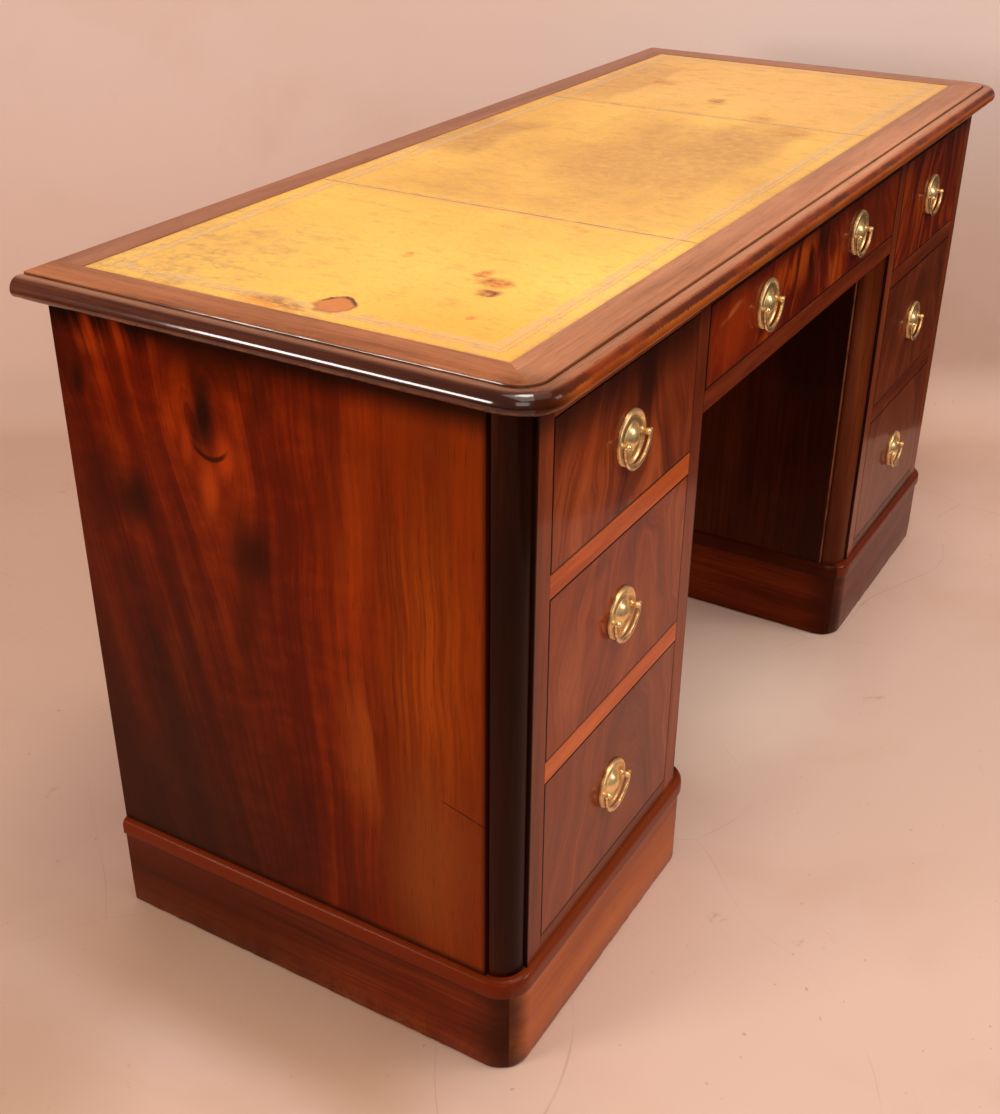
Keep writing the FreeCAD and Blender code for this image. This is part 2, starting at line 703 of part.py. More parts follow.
def dovetail(name, stretch, low, high, number, count):
    """One half-blind tail: wide at its tip inside the front, narrow where it leaves it."""
    pitch = f"(({high}) - ({low})) / {count}"
    centre = f"{low} + {pitch} * {number + 1 / 2}"
    tail = doc.addObject("Part::Wedge", name)
    bind(tail, Xmin=stretch[0], X2min=stretch[0], Xmax=stretch[1], X2max=stretch[1],
         Ymin=f"{FRONT} + dovetail_lap", Ymax=f"{FRONT} + front_thickness",
         Zmin=f"{centre} - {pitch} * {TAIL_TIP_SHARE / 2}", Zmax=f"{centre} + {pitch} * {TAIL_TIP_SHARE / 2}",
         Z2min=f"{centre} - {pitch} * {TAIL_NECK_SHARE / 2}", Z2max=f"{centre} + {pitch} * {TAIL_NECK_SHARE / 2}")
    return tail


def make_drawers():
    fittings, bail = make_pull()
    levels = (("lower", LOWER_FLOOR, LOWER_RAIL, 5), ("middle", MIDDLE_FLOOR, UPPER_RAIL, 4),
              ("upper", UPPER_FLOOR, TOP_RAIL, 4))
    openings = []
    for side in SIDES:
        x = across(side, OPENING_START, OPENING_END)
        centre = across(side, "pedestal_width / 2", "pedestal_width / 2")[0]
        for level, low, high, tail_count in levels:
            name = f"{side}_{level}_drawer"
            make_drawer(name, x, (low, high), tail_count, [centre], fittings, bail)
            openings.append((name, x, (low, high)))
    name = "frieze_drawer"
    heights = (FRIEZE_FLOOR, TOP_RAIL)
    make_drawer(name, KNEE_OPENING, heights, 3, ["-frieze_pull_offset", "frieze_pull_offset"], fittings, bail)
    openings.append((name, KNEE_OPENING, heights))
    make_stops(openings)


def check_and_write():
    """Stop at the first piece that failed, then write one file for each node."""
    doc.recompute()
    for piece in doc.Objects:
        if "Invalid" in piece.State or "Error" in piece.State:
            raise RuntimeError(f"{piece.Name} failed: {piece.State}")
    os.makedirs("parts", exist_ok=True)
    for piece in NODES:
        shape = piece.Shape
        if shape.isNull() or not shape.isValid() or not shape.Solids:
            raise RuntimeError(f"{piece.Label} has no valid solid")
        shape.exportStep(os.path.join("parts", piece.Label + ".step"))
    box = group("whole_desk", NODES)
    doc.recompute()
    extent = box.Shape.BoundBox
    print(f"{len(NODES)} nodes, {len(box.Shape.Solids)} solids")
    print(f"X {extent.XMin:.2f} to {extent.XMax:.2f}, Y {extent.YMin:.2f} to {extent.YMax:.2f}, "
          f"Z {extent.ZMin:.2f} to {extent.ZMax:.2f}")


make_top()
make_carcass()
make_columns()
make_runners()
make_plinths()
make_drawers()
check_and_write()
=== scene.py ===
# %% [markdown]
# # A mahogany pedestal desk with a leather top
# The CAD model gives every board, drawer and pull its true size and place, and this lesson
# dresses it: it keeps the flat boards and gives them polish and grain, and it makes anew what
# a cabinet-maker shapes by hand, such as the moulded edge, the rounded columns, the plinths,
# the tooled leather and the cast brass. Loading the frame comes first, because every later
# piece is placed from it.

# %% Load the frame
import json
import math

import bmesh
import bpy
from mathutils import Matrix, Vector, noise

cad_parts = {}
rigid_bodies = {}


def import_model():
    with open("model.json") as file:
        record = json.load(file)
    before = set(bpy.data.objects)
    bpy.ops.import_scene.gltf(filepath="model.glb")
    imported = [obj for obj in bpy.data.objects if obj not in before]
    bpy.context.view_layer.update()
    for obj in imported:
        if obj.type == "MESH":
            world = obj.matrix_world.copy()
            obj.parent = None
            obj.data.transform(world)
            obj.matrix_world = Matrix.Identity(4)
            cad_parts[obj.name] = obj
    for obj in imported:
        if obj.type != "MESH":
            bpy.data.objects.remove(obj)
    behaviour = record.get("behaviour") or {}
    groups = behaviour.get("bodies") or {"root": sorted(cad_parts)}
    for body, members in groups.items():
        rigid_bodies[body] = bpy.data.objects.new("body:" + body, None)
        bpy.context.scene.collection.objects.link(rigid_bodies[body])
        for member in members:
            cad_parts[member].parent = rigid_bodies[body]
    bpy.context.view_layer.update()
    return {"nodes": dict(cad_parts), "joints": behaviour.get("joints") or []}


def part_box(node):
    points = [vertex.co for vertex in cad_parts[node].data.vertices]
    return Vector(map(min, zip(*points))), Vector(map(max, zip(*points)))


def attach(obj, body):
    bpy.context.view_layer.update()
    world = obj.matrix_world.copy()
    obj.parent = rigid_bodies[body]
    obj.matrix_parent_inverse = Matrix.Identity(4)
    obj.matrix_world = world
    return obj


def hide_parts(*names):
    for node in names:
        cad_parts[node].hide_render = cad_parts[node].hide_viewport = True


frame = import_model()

nodes = frame["nodes"]

# %% [markdown]
# ## The camera
# A photograph is matched by standing where its camera stood. The position and the three
# turns below come from fitting straight edges of the desk. The lens is written for a sensor
# whose long side is 36 mm, so the picture's height sets the angle of view. The camera could
# also be aimed at a target object, but then a small roll about its own axis is lost.

# %% Camera
CAMERA_PLACE = Vector((-1.6005, -0.7709, 1.1969))
CAMERA_YAW = 1.0410
CAMERA_PITCH = -0.5118
CAMERA_ROLL = 0.0076


def camera_axes(yaw, pitch, roll):
    """The camera's right, up and backward directions, as columns of a matrix."""
    flat = math.cos(pitch)
    ahead = Vector((math.sin(yaw) * flat, math.cos(yaw) * flat, math.sin(pitch)))
    level = Vector((math.cos(yaw), -math.sin(yaw), 0))
    above = level.cross(ahead)
    right = level * math.cos(roll) + above * math.sin(roll)
    up = above * math.cos(roll) - level * math.sin(roll)
    return Matrix((right, up, -ahead)).transposed()


def placed(name, data):
    """An object made from data, put into the scene."""
    thing = bpy.data.objects.new(name, data)
    bpy.context.scene.collection.objects.link(thing)
    return thing


lens = bpy.data.cameras.new("photo_camera")
lens.sensor_fit = "VERTICAL"
lens.sensor_height = 36.0
lens.lens = 46.60
lens.clip_end = 50.0
camera = placed("photo_camera", lens)
turned_to = camera_axes(CAMERA_YAW, CAMERA_PITCH, CAMERA_ROLL).to_4x4()
camera.matrix_world = Matrix.Translation(CAMERA_PLACE) @ turned_to
bpy.context.scene.camera = camera
print("camera", [round(v, 3) for v in camera.location], "lens", lens.lens, "mm")

# %% [markdown]
# ## Calls that build a finish
# A finish is a node tree. Writing each node and each link out in full makes long code that
# hides the idea, so two classes shorten it. A Wire is what comes out of a node, and it can be
# added and multiplied like a number. A Finish keeps one material and its colour so far, and
# each paint call lays another colour over that, as a polisher works in coats. Colours are
# written as they look on a screen, from 0 to 255, and turned into the linear values that the
# renderer counts in.

# %% Finish helper
def tint(red, green, blue):
    """A colour written as on a screen, turned into linear light."""
    parts = [value / 255 for value in (red, green, blue)]
    return tuple(v / 12.92 if v <= 0.04045 else ((v + 0.055) / 1.055) ** 2.4 for v in parts) + (1.0,)


class Wire:
    """What comes out of a node. A sum of wires adds the node that does the sum."""

    def __init__(self, finish, socket):
        self.finish, self.socket = finish, socket

    def __add__(self, other):
        return self.finish.sum("ADD", self, other)

    def __radd__(self, other):
        return self.finish.sum("ADD", other, self)

    def __sub__(self, other):
        return self.finish.sum("SUBTRACT", self, other)

    def __rsub__(self, other):
        return self.finish.sum("SUBTRACT", other, self)

    def __mul__(self, other):
        return self.finish.sum("MULTIPLY", self, other)

    def __rtruediv__(self, other):
        return self.finish.sum("DIVIDE", other, self)

    def __abs__(self):
        return self.finish.sum("ABSOLUTE", self)


class Finish:
    """A material under construction, with short calls that add its nodes and join them."""

    def __init__(self, name):
        self.material = bpy.data.materials.new(name)
        self.material.use_nodes = True
        self.nodes = self.material.node_tree.nodes
        self.surface = self.nodes["Principled BSDF"]
        self.colour = None
        self.place = self.value("TexCoord", output="Object")

    def feed(self, node, key, value):
        if isinstance(value, Wire):
            self.material.node_tree.links.new(value.socket, node.inputs[key])
        else:
            node.inputs[key].default_value = value

    def add(self, kind, feeds=None, **settings):
        node = self.nodes.new("ShaderNode" + kind)
        for key, value in settings.items():
            setattr(node, key, value)
        for key, value in (feeds or {}).items():
            self.feed(node, key, value)
        return node

    def value(self, kind, feeds=None, output=0, **settings):
        return Wire(self, self.add(kind, feeds, **settings).outputs[output])

    def sum(self, how, a, b=0.0, clamp=False):
        return self.value("Math", {0: a, 1: b}, operation=how, use_clamp=clamp)

    def vector(self, how, a, b=(0, 0, 0)):
        output = "Value" if how in ("LENGTH", "DOT_PRODUCT") else 0
        return self.value("VectorMath", {0: a, 1: b}, output, operation=how)

    def split(self, vector):
        return [Wire(self, socket) for socket in self.add("SeparateXYZ", {0: vector}).outputs]

    def join(self, x, y, z):
        return self.value("CombineXYZ", {0: x, 1: y, 2: z})

    def stretch(self, vector, scale, shift=(0, 0, 0)):
        return self.value("Mapping", {"Vector": vector, "Scale": scale, "Location": shift})

    def noise(self, vector, scale=1.0, detail=2.0, rough=0.5):
        """Clouds of a size. Three scales in place of one draw them out along an axis."""
        if isinstance(scale, tuple):
            vector, scale = self.stretch(vector, scale), 1.0
        feeds = {"Vector": vector, "Scale": scale, "Detail": detail, "Roughness": rough}
        return self.value("TexNoise", feeds)

    def wander(self, vector, scale, by):
        """The vector pushed about by a slow noise, so that straight lines come out wavy."""
        cloud = self.value("TexNoise", {"Vector": vector, "Scale": scale, "Detail": 1.0}, output=1)
        centred = self.vector("SUBTRACT", cloud, (0.5, 0.5, 0.5))
        return self.vector("ADD", vector, self.vector("MULTIPLY", centred, by))

    def span(self, value, low, high, start=0.0, end=1.0):
        """A soft step: start below low, end above high."""
        feeds = {0: value, 1: low, 2: high, 3: start, 4: end}
        return self.value("MapRange", feeds, interpolation_type="SMOOTHSTEP")

    def ramp(self, value, positions, colours):
        node = self.add("ValToRGB", {0: value})
        elements = node.color_ramp.elements
        while len(elements) < len(positions):
            elements.new(0.5)
        for element, position, colour in zip(elements, positions, colours):
            element.position = position
            element.color = tint(*colour)
        return Wire(self, node.outputs[0])

    def mix(self, share, a, b):
        a, b = [colour if isinstance(colour, Wire) else tint(*colour) for colour in (a, b)]
        return self.value("Mix", {0: share, 6: a, 7: b}, output=2, data_type="RGBA")

    def paint(self, share, colour):
        """Lay another colour over what is there, by a share from 0 to 1."""
        self.colour = self.mix(share, self.colour, colour)

    def patch(self, at, half, most, colour, texture=None):
        """A soft-edged patch of another colour. An axis that doesn't count is given as None."""
        away = self.vector("SUBTRACT", self.place, tuple(v or 0.0 for v in at))
        waved = self.wander(away, 14.0, tuple(0.0 if h is None else 0.03 for h in half))
        scaled = self.stretch(waved, tuple(0.0 if h is None else 1 / h for h in half))
        share = self.span(self.vector("LENGTH", scaled), 0.15, 1.0, most, 0.0)
        self.paint(share * texture if texture else share, colour)

    def bump(self, height, depth, below=None):
        feeds = {"Height": height, "Distance": depth, "Strength": 1.0}
        if below:
            feeds["Normal"] = below
        return self.value("Bump", feeds)

    def set(self, **values):
        for key, value in values.items():
            self.feed(self.surface, key.replace("_", " "), value)
        return self.material


print("white reads", tint(255, 255, 255)[:3])

# %% [markdown]
# ## Mahogany
# Mahogany shows three things at once: broad bands where the tree's growth varied, fine
# fibres that run along the board, and short dark pores. Each is a noise stretched along the
# grain, and a slow wander keeps the lines from being ruler-straight. French polish lies on
# top as a thin clear coat, and its slight waves are what break up the reflections in it. A
# picture of wood would be quicker, but it repeats and it can't turn with each board.

# %% Mahogany finish
ALONG_X, ALONG_Y, ALONG_Z = 0, 1, 2


def drawn_out(along, across_scale, along_scale):
    scale = [across_scale] * 3
    scale[along] = along_scale
    return tuple(scale)


def polish(f, fibres, gloss=0.10, coat=0.5, sheen=0.08):
    """French polish: slow waves under a clear coat, over a body whose own sheen is amber."""
    waves = f.noise(f.place, scale=7.0, detail=2.0)
    level = f.bump(waves, 0.0012)
    f.set(Roughness=f.span(fibres, 0.2, 0.8, 0.29, 0.42), Normal=f.bump(fibres, 0.00012, level))
    f.set(Coat_Weight=coat, Coat_Roughness=gloss, Coat_Normal=level)
    f.set(Specular_IOR_Level=sheen, Specular_Tint=(1.0, 0.42, 0.16, 1.0))


def darkened_by_height(f, height, bands):
    """Darker bands by height, some of them painted shade. A band is where it starts and ends, its share
    there, and its colour.
    """
    for low, high, share_low, share_high, colour in bands:
        f.paint(f.span(height, low, high, share_low, share_high), colour)


PEDESTAL_MIDDLE, PEDESTAL_HALF = 0.4905, 0.2065
COLUMN_WIDTH = 0.031


def board_grain(f, along, seed, bands, drawn, fibre, pore):
    """Broad bands, fibres and pores along a board, and the place they are laid out from."""
    shifted = f.vector("ADD", f.place, (seed, seed, seed))
    grain = f.wander(shifted, 2.2, (0.02, 0.02, 0.02))
    broad = f.noise(grain, drawn_out(along, bands, bands * drawn), detail=4.0, rough=0.6)
    fibres = f.noise(grain, drawn_out(along, *fibre), detail=2.0, rough=0.6)
    pores = f.noise(grain, drawn_out(along, *pore), detail=1.0)
    return broad, fibres, pores, shifted


def mahogany(name, along, shades, bands=11.0, seed=0.0, coat=0.5, dim=0.55, worn_edge=None,
             dark_bands=(), joint_line=None):
    """Straight-grained mahogany. shades are three colours: deep, middle and bright."""
    f = Finish(name)
    broad, fibres, pores, shifted = board_grain(f, along, seed, bands, 0.10, (260.0, 5.0), (1100.0, 36.0))
    figure = broad * 0.78 + fibres * 0.22
    f.colour = f.ramp(figure, (0.30, 0.50, 0.68), shades)
    clouds = f.noise(shifted, scale=3.5, detail=2.0)
    f.paint(f.span(clouds, 0.42, 0.66, 0.0, dim), shades[0])
    f.paint(f.span(pores, 0.60, 0.72, 0.0, 0.55), shades[0])
    if worn_edge:
        rubbed = f.span(f.split(f.place)[1], worn_edge, worn_edge + 0.003, 0.75, 0.0)
        rubbed = rubbed * f.span(f.noise(f.place, scale=45.0, detail=3.0), 0.30, 0.50, 0.4, 1.0)
        f.paint(rubbed, (186, 112, 74))
    darkened_by_height(f, f.split(f.place)[2], dark_bands)
    if joint_line:
        from_middle = abs(abs(f.split(f.place)[0]) - PEDESTAL_MIDDLE)
        off_line = abs(PEDESTAL_HALF - from_middle - joint_line)
        f.paint(f.span(off_line, 0.0010, 0.0024, 0.92, 0.0), (18, 5, 2))
    polish(f, fibres, coat=coat)
    return f.set(Base_Color=f.colour)


# The kneehole panels take a darker wood than the rest: painted shade inside the kneehole.
SHADED_KNEEHOLE_WOOD = ((24, 7, 2), (52, 17, 6), (78, 30, 12))
COLUMN_WOOD = ((22, 4, 1), (40, 9, 2), (70, 20, 6))
# The inner columns take a lighter copy of the column wood: painted light, as they face more light than the
# outer ones.
LIT_INNER_COLUMN_WOOD = ((56, 18, 6), (90, 36, 14), (120, 56, 26))
STILE_WOOD = ((92, 30, 10), (134, 56, 24), (166, 78, 38))
RAIL_WOOD = ((158, 58, 17), (210, 96, 34), (234, 122, 54))
# SHADED_RAIL_WOOD is a darker copy of RAIL_WOOD, for the right pedestal and the frieze: painted shade.
SHADED_RAIL_WOOD = ((84, 24, 7), (122, 44, 15), (150, 66, 28))
# PLINTH_WOOD, on the plinth ends, the kneehole boards and the right front, is a darker copy of
# PLINTH_FRONT_WOOD on the left front: painted shade.
PLINTH_WOOD = ((50, 14, 4), (92, 29, 8), (120, 46, 16))
PLINTH_FRONT_WOOD = ((132, 54, 16), (174, 86, 34), (198, 108, 48))
# Painted shade under the top's overhang, on the stiles and rails. OVER_PLINTH darkens the lowest rail, just
# above the plinth.
PAINTED_SHADE_UNDER_TOP = (0.690, 0.728, 0.0, 0.75, (30, 6, 1))
OVER_PLINTH = (0.146, 0.154, 0.80, 0.0, (64, 22, 8))
shaded_inner_wood = mahogany("mahogany_kneehole_shaded", ALONG_Z, SHADED_KNEEHOLE_WOOD, 9.0, 5.1, coat=0.08, worn_edge=-0.2290)
stile_wood = mahogany("mahogany_stile", ALONG_Z, STILE_WOOD, 30.0, 3.3, coat=0.3, dim=0.3,
                      dark_bands=[PAINTED_SHADE_UNDER_TOP], joint_line=COLUMN_WIDTH)
column_wood = mahogany("mahogany_column", ALONG_Z, COLUMN_WOOD, 24.0, 8.2, coat=0.12)
lit_inner_column_wood = mahogany("mahogany_inner_column_lit", ALONG_Z, LIT_INNER_COLUMN_WOOD, 24.0, 2.4, coat=0.12)
rail_wood = mahogany("mahogany_rail", ALONG_X, RAIL_WOOD, 30.0, 4.6, coat=0.3, dim=0.3,
                     dark_bands=[PAINTED_SHADE_UNDER_TOP, OVER_PLINTH])
shaded_rail_wood = mahogany("mahogany_rail_shaded", ALONG_X, SHADED_RAIL_WOOD, 30.0, 7.5, coat=0.3,
                            dim=0.4, dark_bands=[PAINTED_SHADE_UNDER_TOP, OVER_PLINTH])
print("mahogany finishes:", [m.name for m in bpy.data.materials if m.name.startswith("mahogany")])

# %% [markdown]
# ## The figured end panel
# The end that faces the viewer is one wide board with a knot near its top. Round a knot the
# grain parts like water round a stone, and the same sum gives it: the distance across the
# board is squeezed by the squared radius over the squared distance from the knot. Painted
# light and shade lie over it: its front part is painted brighter orange, and its lower back
# part and its back edge are painted darker.

# %% End panel finish
def figured_end(name, knot_y, knot_z, radius=0.036):
    f = Finish(name)
    _, y, z = f.split(f.place)
    drift = (f.noise(f.place, scale=3.2, detail=2.0) - 0.5) * 0.05
    height = z - knot_z
    leaning = height * f.span(y, -0.10, 0.10, 0.02, 0.20)
    u = y - knot_y + drift - leaning
    w = height * 0.42
    squared = u * u + w * w + 0.00020
    parting = 1.0 - radius * radius / squared
    flow = u * parting
    broad = f.noise(f.join(flow * 30.0, 1.7, z * 1.6), detail=4.0, rough=0.6)
    fibres = f.noise(f.join(flow * 190.0, 4.1, z * 5.0), detail=2.0)
    mottle = f.noise(f.place, (1, 30, 52), detail=3.0, rough=0.6)
    pores = f.noise(f.place, (1000, 1000, 34), detail=1.0)
    clouds = f.noise(f.stretch(f.place, (1, 7, 4), (0, 0.7, 0.2)), detail=3.0, rough=0.55)
    figure = broad * 0.45 + fibres * 0.13
    figure = figure + (mottle * 0.16 + clouds * 0.26)
    f.colour = f.ramp(figure, (0.32, 0.49, 0.66), ((46, 6, 1), (94, 19, 1), (146, 44, 2)))
    # Painted light and shade: the front part is painted brighter, the lower back part and the back edge
    # darker.
    forward = f.span(y + mottle * 0.14, -0.24, 0.06, 0.62, 0.0)
    f.paint(forward, (142, 54, 6))
    lower = f.span(z + drift * 3.0, 0.12, 0.72, 0.92, 0.0)
    backward = f.span(y, -0.12, 0.16, 0.25, 1.0)
    f.paint(backward * lower, (38, 17, 8))
    edge = f.span(y, 0.20, 0.255, 0.0, 0.55)
    f.paint(edge, (50, 13, 5))

    streaky = f.span(broad, 0.42, 0.58)
    threads = f.span(fibres, 0.34, 0.62, 0.25, 1.0)
    for at_y, at_z, half_y, half_z, most, colour, texture in (
            (0.190, 0.680, 0.040, 0.050, 0.50, (142, 38, 2), streaky),
            (0.052, 0.624, 0.020, 0.036, 0.60, (176, 58, 5), None),
            (0.114, 0.652, 0.018, 0.032, 0.50, (166, 52, 5), threads),
            (0.098, 0.628, 0.012, 0.034, 0.45, (160, 52, 5), None),
            (0.074, 0.588, 0.020, 0.048, 0.70, (164, 58, 6), streaky),
            (-0.085, 0.600, 0.045, 0.130, 0.40, (150, 54, 5), streaky),
            (-0.165, 0.470, 0.070, 0.220, 0.60, (160, 68, 10), threads),
            (-0.095, 0.350, 0.050, 0.120, 0.50, (150, 68, 20), streaky),
            (-0.165, 0.240, 0.075, 0.170, 0.55, (132, 64, 22), None),
            (0.125, 0.430, 0.035, 0.140, 0.45, (124, 46, 12), streaky),
            (0.040, 0.480, 0.032, 0.150, 0.70, (50, 12, 3), None),
            (0.205, 0.560, 0.055, 0.075, 0.60, (44, 8, 1), None),
            (0.045, 0.712, 0.110, 0.034, 0.75, (46, 7, 0), streaky),
            (0.074, 0.664, 0.024, 0.058, 0.95, (26, 5, 1), f.span(mottle, 0.25, 0.50, 0.8, 1.0)),
            (0.004, 0.690, 0.030, 0.045, 0.75, (44, 8, 1), streaky),
            (-0.060, 0.700, 0.035, 0.040, 0.55, (52, 10, 1), streaky),
            (0.026, 0.535, 0.046, 0.050, 0.75, (40, 8, 1), None),
            (0.170, 0.552, 0.038, 0.044, 0.85, (34, 7, 2), None),
            (0.150, 0.600, 0.030, 0.040, 0.50, (44, 10, 2), streaky),
            (0.228, 0.668, 0.016, 0.030, 0.85, (36, 8, 2), None),
            (0.205, 0.710, 0.030, 0.022, 0.55, (150, 54, 8), threads)):
        f.patch((None, at_y, at_z), (None, half_y, half_z), most, colour, texture)
    # Painted shade under the moulded edge of the top, and a darker band at the foot of the panel, just above
    # the plinth.
    darkened_by_height(f, z, [(0.706, 0.736, 0.0, 0.94, (12, 2, 0)), (0.124, 0.134, 0.85, 0.0, (28, 8, 3))])
    f.patch((None, 0.185, 0.722), (None, 0.080, 0.024), 0.80, (150, 44, 3), streaky)
    f.paint(f.span(y, -0.2285, -0.222, 0.8, 0.0), (24, 5, 1))
    crack = abs(z - (0.3720 + y * 0.26))
    crack_near = f.span(y, -0.186, -0.175, 0.8, 0.0)
    f.paint(f.span(crack, 0.0004, 0.0011, 1.0, 0.0) * crack_near, (30, 8, 2))
    lip_y = y - 0.0685
    lip = z - 0.6215 - lip_y * lip_y * 26.0
    lip_near = f.span(abs(lip_y), 0.012, 0.026, 1.0, 0.0)
    f.paint(f.span(abs(lip), 0.0012, 0.0042, 0.9, 0.0) * lip_near, (44, 8, 1))
    f.paint(f.span(pores, 0.60, 0.72, 0.0, 0.45), (50, 10, 2))
    polish(f, fibres, coat=0.02, sheen=0.07)
    return f.set(Base_Color=f.colour)


end_wood = figured_end("mahogany_end", 0.070, 0.655)
print("the knot sits", round((0.762 - 0.655) * 1000), "mm under the top")

# %% [markdown]
# ## Flame veneer
# The drawer fronts are veneered with wood cut where the trunk forks, so the grain stands up
# in nested arches. Height plus the distance from the middle line gives a pointed arch, and
# rounding that distance off near the middle gives the flame's soft tip. Using the sum in
# place of plain height bends every band and every fibre into the same arch at once. Each
# front gets its own middle line and its own noise.

# %% Flame finish
FLAME_SHADES = ((82, 22, 6), (142, 56, 20), (186, 90, 40))
DUSKY_SHADES = ((66, 19, 7), (114, 44, 17), (152, 72, 34))
LOWER_SHADES = ((78, 24, 9), (130, 54, 22), (168, 84, 42))
FIERY_SHADES = ((44, 5, 1), (112, 24, 1), (200, 78, 8))


def flame(name, low, high, aside, steep, round_off, seed, contrast, reach, shades, patches, dark_bands):
    """Nested arches about a line aside from the middle of a front from corner low to corner high.
    steep is how upright the legs stand, reach how far they show."""
    middle = (low + high) / 2
    f = Finish(name)
    shifted = f.vector("ADD", f.place, (seed, 0, seed * 0.7))
    lean = (f.noise(shifted, (9, 9, 6), detail=2.0) - 0.5) * 0.11
    x, _, z = f.split(f.place)
    across = x - (middle.x + aside) + lean
    away = f.sum("SQRT", across * across + round_off * round_off)
    rise = z - middle.z + away * steep
    sway = f.noise(shifted, (40, 40, 14), detail=3.0) * 0.10
    rise = rise + sway
    broad = f.noise(f.join(rise * 9.0, seed, z * 3.0), detail=4.0, rough=0.6)
    streaks = f.noise(f.join(rise * 46.0, seed, z * 7.0), detail=2.0)
    fibres = f.noise(f.join(rise * 120.0, seed, z * 12.0), detail=1.0)
    clouds = f.noise(shifted, scale=8.0, detail=3.0)
    pores = f.noise(f.place, (1000, 1000, 70), detail=1.0)
    figure = broad * 0.60 + streaks * 0.13
    figure = figure + (fibres * 0.05 + clouds * 0.22)
    strength = f.span(abs(across), reach * 0.5, reach, 1.0, 0.45)
    figure = (figure - 0.5) * strength + 0.5
    half = 0.19 / contrast
    f.colour = f.ramp(figure, (0.50 - half, 0.50, 0.50 + half), shades)
    streaky = f.span(broad, 0.40, 0.58)
    for at_x, at_z, half_x, half_z, most, colour, drawn in patches:
        f.patch((at_x, None, at_z), (half_x, None, half_z), most, colour, streaky if drawn else None)
    f.paint(f.span(pores, 0.60, 0.72, 0.0, 0.4), shades[0])
    half_x, half_z = (high.x - low.x) / 2, (high.z - low.z) / 2
    foot = middle.z - half_z
    # The bands passed in are painted shade under the top; the band at the foot darkens the front along its
    # lower edge.
    darkened_by_height(f, z, [*dark_bands, (foot + 0.0010, foot + 0.0036, 0.75, 0.0, (58, 20, 8))])
    from_side = half_x - abs(x - middle.x)
    from_top = half_z - abs(z - middle.z)
    f.paint(f.span(f.sum("MINIMUM", from_side, from_top), 0.0006, 0.0018, 0.9, 0.0), (26, 7, 2))
    polish(f, fibres, gloss=0.08, coat=0.34)
    return f.set(Base_Color=f.colour)


print("at 100 mm from the middle a leg of the flame has come down", round(4.5 * 0.1, 2), "m")

# %% [markdown]
# ## Plain woods inside and behind
# Drawer sides and bottoms, runners and dustboards are bare timber that was planed and never
# polished, and the back boards were only stained. They take the same bands and fibres, but
# no coat, paler or duller shades and more roughness. In a drawer box the sides run front to
# back and the back runs across, so the finish picks the direction by the face's normal.

# %% Bare and stained woods
def bare_wood(name, along, shades, seed, turns_with_face=False):
    f = Finish(name)
    shifted = f.vector("ADD", f.place, (seed, seed, seed))
    if turns_with_face:
        normal = f.split(f.value("TexCoord", output="Normal"))
        faces_front = f.sum("GREATER_THAN", abs(normal[1]), 0.7)
        x, y, z = f.split(shifted)
        swapped = f.join(y, x, z)
        shifted = f.value("Mix", {0: faces_front, 4: shifted, 5: swapped}, output=1, data_type="VECTOR")
    grain = f.wander(shifted, 3.0, (0.012, 0.012, 0.012))
    broad = f.noise(grain, drawn_out(along, 26.0, 1.6), detail=3.0, rough=0.6)
    fibres = f.noise(grain, drawn_out(along, 420.0, 9.0), detail=2.0)
    figure = broad * 0.7 + fibres * 0.3
    f.colour = f.ramp(figure, (0.32, 0.5, 0.68), shades)
    dirt = f.noise(f.place, scale=14.0, detail=4.0, rough=0.65)
    f.paint(f.span(dirt, 0.50, 0.80, 0.0, 0.35), shades[0])
    f.set(Roughness=f.span(fibres, 0.2, 0.8, 0.54, 0.70), Normal=f.bump(fibres, 0.0003))
    return f.set(Base_Color=f.colour, Specular_IOR_Level=0.3)


LINING = ((112, 76, 46), (158, 116, 76), (186, 146, 102))
STAINED = ((48, 26, 18), (82, 46, 30), (104, 62, 42))
BLACKENED = ((18, 11, 9), (34, 21, 16), (48, 32, 24))
lining_wood = bare_wood("lining_sides", ALONG_Y, LINING, 2.0, turns_with_face=True)
bottom_wood = bare_wood("lining_bottoms", ALONG_X, LINING, 6.0)
runner_wood = bare_wood("lining_runners", ALONG_Y, LINING, 9.0)
ground_wood = bare_wood("ground_board", ALONG_X, LINING, 12.0)
back_wood = bare_wood("stained_back", ALONG_Z, STAINED, 4.0)
base_wood = bare_wood("dark_base", ALONG_X, BLACKENED, 7.0)
print("bare woods:", lining_wood.name, bottom_wood.name, runner_wood.name, back_wood.name, base_wood.name)

# %% [markdown]
# ## Dressing the flat boards
# Panels, rails, stiles and drawer fronts are flat boards whose CAD shape is already right,
# so they stay. What real boards add is a softened edge, because sandpaper and a century of
# hands round every corner a little, and that is where light catches. Three modifiers do it
# without touching the CAD mesh: one welds the split corners, one joins the flat triangles,
# and a narrow bevel rounds what is left.

# %% Dress CAD nodes
WELD_WITHIN = 0.000002
ARRIS = 0.0006


def dress(name, finish):
    board = nodes[name]
    board.data.materials.clear()
    board.data.materials.append(finish)
    weld = board.modifiers.new("weld_corners", "WELD")
    weld.merge_threshold = WELD_WITHIN
    flat = board.modifiers.new("join_flats", "DECIMATE")
    flat.decimate_type = "DISSOLVE"
    flat.angle_limit = math.radians(1.0)
    bevel = board.modifiers.new("soft_arris", "BEVEL")
    bevel.width = ARRIS
    bevel.segments = 2
    bevel.limit_method = "ANGLE"
    bevel.angle_limit = math.radians(30)
    bevel.harden_normals = True


